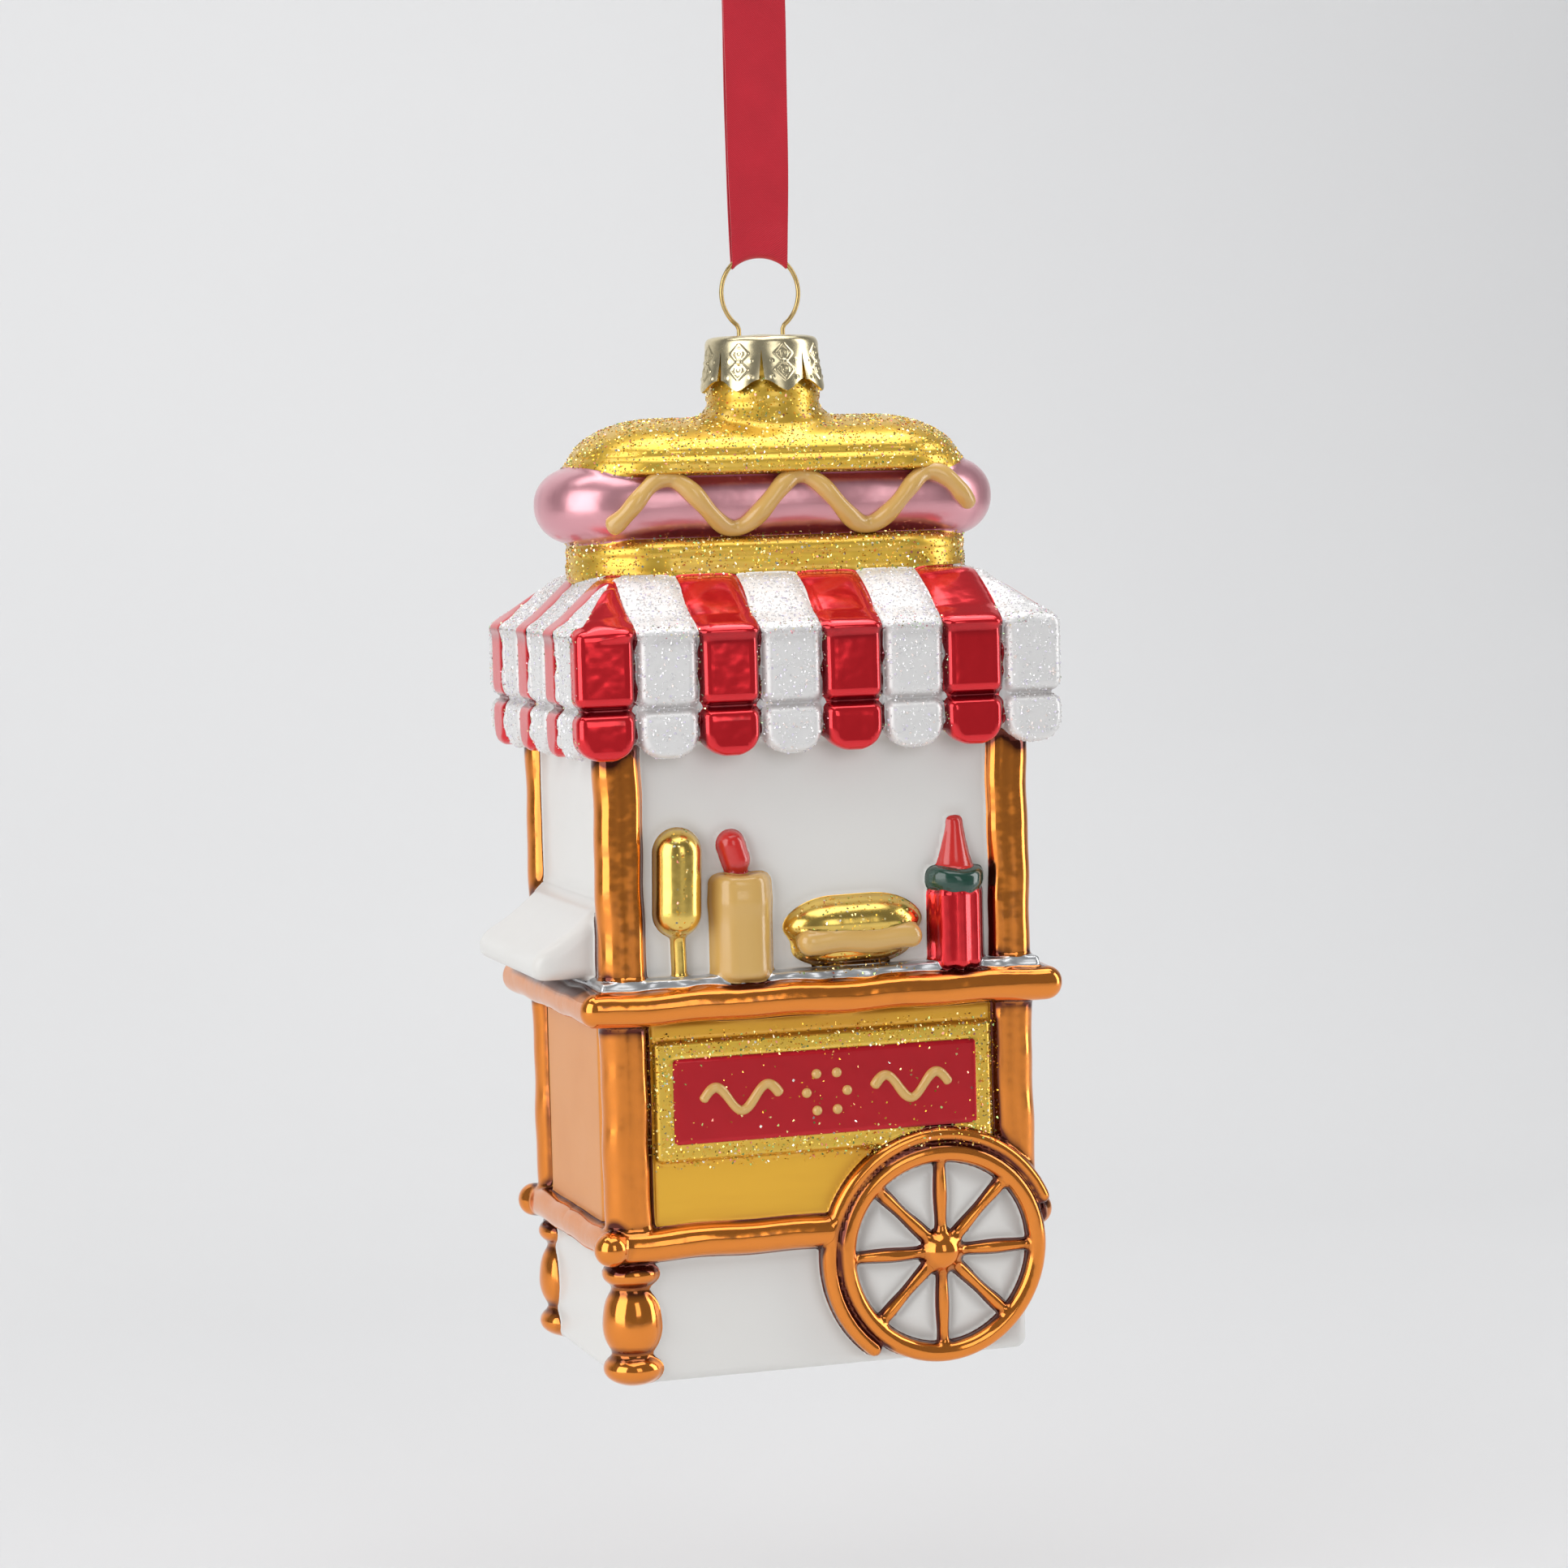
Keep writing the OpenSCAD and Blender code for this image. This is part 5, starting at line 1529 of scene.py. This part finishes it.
# %% A tree that scatters flakes
def flake_tree(name):
    """Dusted surface in, scattered flakes out."""
    tree = bpy.data.node_groups.new(name, "GeometryNodeTree")
    tree.interface.new_socket("Surface", in_out="INPUT", socket_type="NodeSocketGeometry")
    kinds = (("Per square metre", "NodeSocketFloat"), ("Flake", "NodeSocketFloat"), ("Seed", "NodeSocketInt"),
             ("Material", "NodeSocketMaterial"))
    inputs = {k: tree.interface.new_socket(k, in_out="INPUT", socket_type=t).identifier for k, t in kinds}
    tree.interface.new_socket("Flakes", in_out="OUTPUT", socket_type="NodeSocketGeometry")

    def node(kind, **fixed):
        made = tree.nodes.new(kind)
        for key, value in fixed.items():
            setattr(made, key, value)
        return made

    source = node("NodeGroupInput")
    dust = node("GeometryNodeInputNamedAttribute")
    dust.inputs[0].default_value = "dust"
    density = node("ShaderNodeMath", operation="MULTIPLY")
    scatter = node("GeometryNodeDistributePointsOnFaces")
    plate = node("GeometryNodeMeshCube")
    plate.inputs[0].default_value = (1, 0.85, 0.14)
    tilt = node("FunctionNodeRandomValue", data_type="FLOAT_VECTOR")
    tilt.inputs[0].default_value = (-0.75, -0.75, -3.1)
    tilt.inputs[1].default_value = (0.75, 0.75, 3.1)
    turn = node("FunctionNodeRotateRotation", rotation_space="LOCAL")
    size = node("FunctionNodeRandomValue", data_type="FLOAT")
    size.inputs[2].default_value = 0.55
    size.inputs[3].default_value = 1.25
    scale = node("ShaderNodeMath", operation="MULTIPLY")
    place = node("GeometryNodeInstanceOnPoints")
    chance = node("FunctionNodeRandomValue", data_type="FLOAT")
    store = node("GeometryNodeStoreNamedAttribute", data_type="FLOAT", domain="INSTANCE")
    store.inputs[2].default_value = "flake"
    real = node("GeometryNodeRealizeInstances")
    cover = node("GeometryNodeSetMaterial")
    result = node("NodeGroupOutput")
    link = tree.links.new
    link(dust.outputs[0], density.inputs[0])
    link(source.outputs[1], density.inputs[1])
    link(source.outputs[0], scatter.inputs[0])
    link(density.outputs[0], scatter.inputs[4])
    link(source.outputs[3], scatter.inputs[6])
    link(scatter.outputs[0], place.inputs[0])
    link(plate.outputs[0], place.inputs[2])
    link(scatter.outputs[2], turn.inputs[0])
    link(tilt.outputs[0], turn.inputs[1])
    link(turn.outputs[0], place.inputs[5])
    link(size.outputs[1], scale.inputs[0])
    link(source.outputs[2], scale.inputs[1])
    link(scale.outputs[0], place.inputs[6])
    link(place.outputs[0], store.inputs[0])
    link(chance.outputs[1], store.inputs[3])
    link(store.outputs[0], real.inputs[0])
    link(real.outputs[0], cover.inputs[0])
    link(source.outputs[4], cover.inputs[2])
    link(cover.outputs[0], result.inputs[0])
    return tree, inputs


flakes, flake_inputs = flake_tree("flakes on a dusted surface")
print("flake tree has", len(flakes.nodes), "nodes")

# %% [markdown]
# Where the dust lies: gold on the buns, the neck and the sign's border, with a little strayed
# onto the food and the counter; sugar on the awning's white stripes; a few red flakes along
# the edges of the red ones.

# %% Glitter and sugar
def near_to(name, reach=0.35):
    """One on a moulding, falling to nought a little way off it."""
    return np.clip(1 - (raw[name] - first) / reach, 0, 1)


def on_zone(*wanted):
    """One on the named zones."""
    return np.isin(owner, [names.index(n) for n in wanted]).astype(float)


outer_bore = np.where(np.hypot(x, y) < BORE_R + 0.5, 0, 1) * (z < CAP_HIGH.z - 4)
patchy = 0.75 + 0.25 * np.sin(0.8 * x + 0.7 * z) * np.sin(0.9 * y - 0.6 * z)
gold_dust = np.maximum.reduce([
    near_to("neck") * outer_bore, near_to("bun_top") * outer_bore,
    near_to("bun_bottom", 0.8), 1.1 * near_to("sign_borders", 1.5) * (1 - 0.93 * on_zone("sign_boards")),
    0.5 * on_zone("hot_dog_buns") * (z > DOG_LOW.z + 4), 0.35 * on_zone("hot_dog_buns"),
    0.5 * on_zone("corn_dogs") * np.exp(-((x - middle_x("corn_dogs")) / 1.1) ** 2),
    0.5 * on_zone("counter_strip") * (np.abs(y) > CORE_Y)
    * np.exp(-((x - middle_x("hot_dog_buns")) / 6) ** 2),
]) * patchy
whites = on_zone("awning_roof", *(f"awning_{s}_white" for s in ("front", "back", "left", "right")))
sugar_dust = whites * np.where(z > AWNING_HIGH.z - 1, 1, 0.55) + 0.12 * on_zone("awning_core") * (z > 80)
reds = on_zone(*(f"awning_{s}_red" for s in ("front", "back", "left", "right")))
edge_dust = (reds + whites) * np.exp(-((second - first) / 0.35) ** 2) * (raw["awning_core"] < 3)
FINE = 0.4 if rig.quick() else 1.0


def dusted(name, dust, per_square_mm, flake, seed, slot):
    """The flakes on one dusted part of the glass."""
    kept = triangles[(dust[triangles] > 0.03).all(axis=1)]
    used, faces = np.unique(kept, return_inverse=True)
    mesh = bpy.data.meshes.new(name)
    mesh.from_pydata(metres(skin[used] + 0.01 * outward[used]).tolist(), [], faces.reshape(-1, 3).tolist())
    mesh.attributes.new("dust", "FLOAT", "POINT").data.foreach_set("value", dust[used])
    obj = bpy.data.objects.new(name, mesh)
    bpy.context.scene.collection.objects.link(obj)
    modifier = obj.modifiers.new("flakes", "NODES")
    modifier.node_group = flakes
    modifier[flake_inputs["Per square metre"]] = FINE * per_square_mm * 1e6
    modifier[flake_inputs["Flake"]] = flake * MM
    modifier[flake_inputs["Seed"]] = seed
    modifier[flake_inputs["Material"]] = stand_in_paint
    settle(obj)
    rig.ride(obj, "glass")
    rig.slot(obj, slot)
    return obj


gold_flakes = dusted("gold_glitter_flakes", gold_dust, 6.0, 0.25, 11, "gold_glitter")
sugar_flakes = dusted("sugar_flakes", sugar_dust, 6.5, 0.26, 23, "white_frost")
edge_flakes = dusted("edge_glitter_flakes", edge_dust, 3.5, 0.2, 37, "white_frost")
for piece in (gold_flakes, sugar_flakes, edge_flakes):
    print(piece.name, len(piece.data.polygons) // 6, "flakes")
# %% [markdown]
# Paints are worked out with small sums on sockets. The wrapper below lets those sums be
# written as sums; every other node comes from its one method.

# %% A paint box
class Term:
    """A shader value that can be added, multiplied and raised like a number."""

    def __init__(self, tree, socket):
        self.tree, self.socket = tree, socket

    def math(self, operation, *values):
        return node(self.tree, "ShaderNodeMath", {i: v for i, v in enumerate(values)}, operation=operation)

    def __add__(self, other):
        return self.math("ADD", self, other)

    def __radd__(self, other):
        return self.math("ADD", other, self)

    def __sub__(self, other):
        return self.math("SUBTRACT", self, other)

    def __rsub__(self, other):
        return self.math("SUBTRACT", other, self)

    def __mul__(self, other):
        return self.math("MULTIPLY", self, other)

    def __rmul__(self, other):
        return self.math("MULTIPLY", other, self)

    def clip(self):
        return self.math("MINIMUM", self.math("MAXIMUM", self, 0), 1)

    def sine(self):
        return self.math("SINE", self)


def node(tree, kind, inputs, out=0, **fixed):
    """Adds a node, sets or links its inputs, and wraps one output."""
    made = tree.nodes.new(kind)
    for key, value in fixed.items():
        setattr(made, key, value)
    for key, value in inputs.items():
        if isinstance(value, Term):
            tree.links.new(value.socket, made.inputs[key])
        else:
            made.inputs[key].default_value = value
    return Term(tree, made.outputs[out])


class Paint:
    """A new material and the few things every paint here needs."""

    def __init__(self, name):
        self.material = bpy.data.materials.new(name)
        self.material.use_nodes = True
        self.tree = self.material.node_tree
        self.shader = self.tree.nodes["Principled BSDF"]

    def noise(self, scale, detail=2, stretch=(1, 1, 1), out=0):
        place = node(self.tree, "ShaderNodeTexCoord", {}, out=3)
        place = node(self.tree, "ShaderNodeMapping", {0: place, 3: stretch})
        return node(self.tree, "ShaderNodeTexNoise", {0: place, "Scale": scale, "Detail": detail}, out=out)

    def stored(self, name):
        return node(self.tree, "ShaderNodeAttribute", {}, out=2, attribute_name=name)

    def mix(self, share, a, b):
        a = (*a, 1) if isinstance(a, tuple) else a
        b = (*b, 1) if isinstance(b, tuple) else b
        return node(self.tree, "ShaderNodeMix", {0: share, 6: a, 7: b}, out=2, data_type="RGBA")

    def set(self, **values):
        for key, value in values.items():
            socket = self.shader.inputs[key.replace("_", " ")]
            if isinstance(value, Term):
                self.tree.links.new(value.socket, socket)
            else:
                socket.default_value = (*value, 1) if isinstance(value, tuple) and len(value) == 3 else value
        return self

    def bump(self, height, distance, strength=1.0):
        sockets = {"Height": height, "Distance": distance, "Strength": strength}
        bumped = node(self.tree, "ShaderNodeBump", sockets)
        self.tree.links.new(bumped.socket, self.shader.inputs["Normal"])
        return self


def cover(paint, *pieces):
    """Paints pieces with one material."""
    for piece in pieces:
        piece.data.materials.clear()
        piece.data.materials.append(paint.material)


print("paint box ready")

# %% [markdown]
# Transparent lacquer over silvering looks like coloured metal. It runs thin on the high
# places and pools in the creases, where it turns dark. The stored crease depth darkens each
# lacquer there, which is partly that pooling and partly painted shade.

# %% Lacquers over silver
def lacquer(name, thin, deep, rough=0.14, pooling=1.6, mottled=0.3, metal=1.0, wobble=0.05):
    """Coloured mirror lacquer, darker in the creases: partly pooled lacquer, partly painted shade."""
    paint = Paint(name)
    cloud = paint.noise(140, 3)
    run = paint.noise(420, 2, (1, 1, 0.12))
    # In the creases the colour goes towards deep, which is pooled lacquer and painted shade.
    pool = paint.stored("pool") * pooling + (cloud - 0.5) * mottled
    pool = (pool + (run - 0.5) * mottled * 0.6 - 0.12).clip()
    paint.set(Base_Color=paint.mix(pool, thin, deep), Metallic=metal, Coat_Weight=0.5, Coat_Roughness=0.06)
    paint.set(Roughness=rough + (cloud - 0.5) * 0.06)
    return paint.bump(paint.noise(260, 2), wobble * MM * 4, 0.5)


copper = lacquer("copper lacquer", (0.90, 0.28, 0.032), (0.11, 0.012, 0.002), rough=0.11,
                 pooling=2.6, mottled=0.6, metal=0.85)
red = lacquer("red lacquer", (0.82, 0.014, 0.024), (0.22, 0.0, 0.006), rough=0.12, pooling=1.5, mottled=0.4,
              metal=0.62)
sign_red = lacquer("sign red", (0.58, 0.006, 0.016), (0.22, 0.0, 0.004), rough=0.3, pooling=1.2,
                   mottled=0.6, metal=0.75)
silver = lacquer("silver paint", (0.72, 0.73, 0.74), (0.30, 0.31, 0.32), rough=0.3, pooling=0.9, metal=0.9)
gold = lacquer("gold lacquer", (0.90, 0.62, 0.14), (0.42, 0.18, 0.02), rough=0.22, pooling=1.3, mottled=0.7)
gold_base = lacquer("gold under glitter", (0.86, 0.55, 0.07), (0.55, 0.26, 0.02), rough=0.36,
                    pooling=1.2, metal=0.85)
pearl = lacquer("pink pearl", (0.80, 0.38, 0.43), (0.36, 0.07, 0.12), rough=0.3, pooling=1.3,
                mottled=1.1, metal=0.75)
print("lacquers:", 7)

# %% [markdown]
# The walls are satin white over the silver. The golden front panel shows brush strokes, the
# orange end panels are matt, and the piped enamels are thick and glossy.

# %% Satin paints and enamels
def enamel(name, colour, shade, rough, coat=0.0, mottled=0.35, scale=180, stretch=(1, 1, 1),
           metal=0.0, bump=0.02):
    """Opaque paint with slight clouds, and painted shade in the creases."""
    paint = Paint(name)
    cloud = paint.noise(scale, 3, stretch)
    # In the creases the colour goes towards shade, which is painted shade.
    pool = (paint.stored("pool") * 0.8 + (cloud - 0.5) * mottled).clip()
    paint.set(Base_Color=paint.mix(pool, colour, shade), Roughness=rough + (cloud - 0.5) * 0.1)
    paint.set(Metallic=metal, Coat_Weight=coat, Coat_Roughness=0.08)
    return paint.bump(cloud, bump * MM * 4, 0.4)


white = enamel("satin white", (0.84, 0.83, 0.80), (0.62, 0.58, 0.53), 0.36, coat=0.25,
               mottled=0.08, bump=0.006)
frost = enamel("frosted white", (0.86, 0.85, 0.84), (0.58, 0.55, 0.54), 0.42, mottled=0.3,
               metal=0.35, scale=500)
amber = enamel("golden panel", (0.92, 0.50, 0.035), (0.66, 0.24, 0.012), 0.34, coat=0.2, mottled=1.1,
               scale=90, stretch=(0.35, 1, 2.2), metal=0.3)
orange = enamel("orange panel", (0.86, 0.33, 0.055), (0.64, 0.17, 0.02), 0.33, coat=0.2,
                mottled=0.6, metal=0.35, scale=70)
mustard = enamel("mustard enamel", (0.72, 0.44, 0.13), (0.50, 0.26, 0.06), 0.25, coat=0.6, mottled=0.12)
red_gloss = enamel("red enamel", (0.68, 0.025, 0.02), (0.4, 0.01, 0.01), 0.22, coat=0.6, mottled=0.2)
green = enamel("green enamel", (0.012, 0.06, 0.04), (0.004, 0.02, 0.014), 0.2, coat=0.7, mottled=0.3)
for zone, paint in (
        ("serving_block side_shelf wheel_discs skirt", white), ("counter_strip", silver),
        ("counter_rail lower_rail corner_knobs fenders wheel_rims wheel_spokes wheel_hubs legs", copper),
        (" ".join(n for n in names if "post" in n), copper), ("cabinet_shell front_panels", amber),
        ("side_panels", orange), ("sign_boards", sign_red), ("sauce_bottles", red), ("sausage", pearl),
        ("neck bun_top bun_bottom sign_borders", gold_base), ("corn_dogs corn_dog_sticks hot_dog_buns", gold),
        ("mustard_bottles hot_dog_fillings", mustard), ("mustard_tips sauce_caps", red_gloss),
        ("sauce_collars", green), (" ".join(n for n in names if n.endswith("_red")), red),
        (" ".join(n for n in names if n.endswith("_white")) + " awning_roof awning_core", frost)):
    cover(paint, *(glass[n] for n in zone.split()))
cover(mustard, *(o for o in bpy.data.objects if o.name.endswith("_piped")))
slots = {
    "gold_glitter": "neck bun_top bun_bottom sign_borders", "sausage_pearl": "sausage",
    "mustard_enamel": "mustard_bottles hot_dog_fillings", "red_enamel": "mustard_tips sauce_caps",
    "white_lacquer": "serving_block side_shelf wheel_discs skirt", "silver_lacquer": "counter_strip",
    "gold_lacquer": "corn_dogs corn_dog_sticks hot_dog_buns", "green_enamel": "sauce_collars",
    "amber_lacquer": "front_panels cabinet_shell", "orange_lacquer": "side_panels",
}
slot_of = {n: slot for slot, group in slots.items() for n in group.split()}
for name in names:
    usual = "copper_lacquer" if "awning" not in name else "white_frost"
    if name.endswith("_red") or name in ("sign_boards", "sauce_bottles"):
        usual = "red_lacquer"
    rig.slot(glass[name], slot_of.get(name, usual))
print("painted", len(names), "pieces of glass")

# %% [markdown]
# Glitter is bright metal film in several golds with a few green and rose flakes; the sugar is
# clear white with pale rainbow glints. The cap and wire are thin gold-coloured metal.

# %% Glitter, sugar and metal
def flake_paint(name, colours, rough, metal):
    """Each flake takes one of the colours by its stored random number."""
    paint = Paint(name)
    chance = paint.stored("flake")
    colour = colours[0][1]
    for share, other in colours[1:]:
        colour = paint.mix((chance - (1 - share)).math("GREATER_THAN", chance, 1 - share), colour, other)
    return paint.set(Base_Color=colour, Roughness=rough, Metallic=metal)


gold_film = flake_paint("gold glitter", (
    (1.0, (0.95, 0.62, 0.12)), (0.6, (0.80, 0.45, 0.05)), (0.35, (0.98, 0.80, 0.35)),
    (0.14, (0.55, 0.75, 0.25)), (0.07, (0.95, 0.95, 0.85)), (0.03, (0.9, 0.35, 0.25))), 0.22, 1.0)
sugar = flake_paint("sugar", (
    (1.0, (0.93, 0.92, 0.92)), (0.5, (0.86, 0.85, 0.86)), (0.15, (0.95, 0.85, 0.80)),
    (0.08, (0.85, 0.80, 0.95))), 0.25, 0.3)
edge_film = flake_paint("edge glitter", (
    (1.0, (0.90, 0.75, 0.72)), (0.6, (0.85, 0.35, 0.40)), (0.3, (0.92, 0.80, 0.45)),
    (0.12, (0.6, 0.8, 0.5))), 0.2, 0.9)
cover(gold_film, gold_flakes)
cover(sugar, sugar_flakes)
cover(edge_film, edge_flakes)

stamped = Paint("stamped cap")
grain = stamped.noise(900, 2)
stamped.set(Base_Color=stamped.mix(grain, (0.86, 0.76, 0.50), (0.78, 0.66, 0.40)), Metallic=1.0)
stamped.set(Roughness=0.2 + grain * 0.12).bump(grain, 0.01 * MM, 0.5)
cover(stamped, cap)
drawn = Paint("gold wire")
drawn.set(Base_Color=drawn.mix(drawn.noise(500), (0.72, 0.52, 0.24), (0.50, 0.34, 0.12)))
drawn.set(Metallic=1.0, Roughness=0.22)
cover(drawn, wire)
print("flakes, cap and wire painted")

# %% [markdown]
# Satin ribbon: fine slanting twill in the weave, a soft sheen, and plain woven edges. The
# cloth map is in centimetres.

# %% Satin
satin = Paint("red satin")
cloth = node(satin.tree, "ShaderNodeUVMap", {}, uv_map="Cloth")
across = node(satin.tree, "ShaderNodeSeparateXYZ", {0: cloth})
along = Term(satin.tree, across.socket.node.outputs[1])
twill = (across * 190 + along * 260).sine() * 0.5 + 0.5
ribs = (along * 330).sine() * 0.5 + 0.5
edge_band = ((across - 0.4).math("ABSOLUTE", across - 0.4) - 0.345) * 40
edge_band = edge_band.clip()
weave = twill * (1 - edge_band) + ribs * edge_band
wear = satin.noise(160, 2)
light_share = (weave * 0.6 + wear * 0.5 - 0.1).clip()
satin.set(Base_Color=satin.mix(light_share, (0.42, 0.002, 0.014), (0.74, 0.010, 0.035)))
satin.set(Roughness=0.48 - weave * 0.1, Sheen_Weight=0.25, Sheen_Roughness=0.4)
satin.bump(weave, 0.03 * MM, 0.7)
cover(satin, *runs.values(), fold, knot, *tails)
print("ribbon covered")

# %% [markdown]
# The stage: a pale floor that sweeps up behind into a wall, a big soft light on the left like
# a window, a smaller one on the right, one overhead, and a dim even room.

# %% Stage and light
SWEEP_Y = np.concatenate([np.linspace(-0.9, 0.25, 24), 0.25 + 0.35 * np.sin(np.linspace(0.05, np.pi / 2, 24)),
                          np.full(6, 0.6)])
SWEEP_Z = np.concatenate([np.zeros(24), 0.35 * (1 - np.cos(np.linspace(0.05, np.pi / 2, 24))),
                          np.linspace(0.4, 0.9, 6)])
sweep_x = np.linspace(-1.4, 1.4, 12)
floor_low = (FEET - 42) * MM
sweep_points = [(px, py, pz + floor_low) for py, pz in zip(SWEEP_Y, SWEEP_Z) for px in sweep_x]
sweep_mesh = bpy.data.meshes.new("sweep")
sweep_mesh.from_pydata(sweep_points, [], [f[::-1] for f in grid_faces(len(SWEEP_Y), 12).tolist()])
sweep_mesh.polygons.foreach_set("use_smooth", [True] * len(sweep_mesh.polygons))
sweep = bpy.data.objects.new("sweep", sweep_mesh)
bpy.context.scene.collection.objects.link(sweep)
paper = Paint("pale paper")
tone = paper.noise(4, 3)
paper.set(Base_Color=paper.mix(tone, (0.80, 0.80, 0.80), (0.74, 0.74, 0.745)), Roughness=0.9)
cover(paper, sweep)
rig.stage(sweep)


def soft_light(name, place, towards, width, height, watts, warmth=1.0):
    """A rectangular area light."""
    data = bpy.data.lights.new(name, "AREA")
    data.shape = "RECTANGLE"
    data.size, data.size_y, data.energy = width, height, watts
    data.color = (1, 0.5 + 0.5 * warmth, 0.25 + 0.75 * warmth)
    light = bpy.data.objects.new(name, data)
    light.location = place
    light.rotation_euler = (Vector(towards) - Vector(place)).to_track_quat("-Z", "Y").to_euler()
    bpy.context.scene.collection.objects.link(light)
    return light


MIDDLE = (0, 0, -0.10)
soft_light("window", (-0.62, -0.30, 0.05), MIDDLE, 0.55, 0.8, 3.6)
soft_light("right strip", (0.60, -0.16, 0.0), MIDDLE, 0.22, 0.7, 1.7)
soft_light("overhead", (0.05, -0.12, 0.55), MIDDLE, 0.6, 0.5, 2.0)
soft_light("front card", (0.12, -0.85, 0.12), MIDDLE, 0.28, 0.5, 0.75)
soft_light("wall light", (0, 0.15, 0.7), (0, 0.6, -0.1), 1.2, 0.3, 2.8)
world = bpy.data.worlds.new("room")
bpy.context.scene.world = world
world.use_nodes = True
world.node_tree.nodes["Background"].inputs[0].default_value = (0.92, 0.95, 1.0, 1)
world.node_tree.nodes["Background"].inputs[1].default_value = 0.17
bpy.context.scene.view_settings.view_transform = "Standard"
print("stage set")
# %% [markdown]
# Last come the lookup of the finished size and the end of the lesson.

# %% Finish
end_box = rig.bounds()
with open("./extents.json", "w") as file:
    json.dump({"cad": [list(v) for v in cad_box], "finished": [list(v) for v in end_box]}, file)
print("CAD box", cad_box)
print("finished box", end_box)
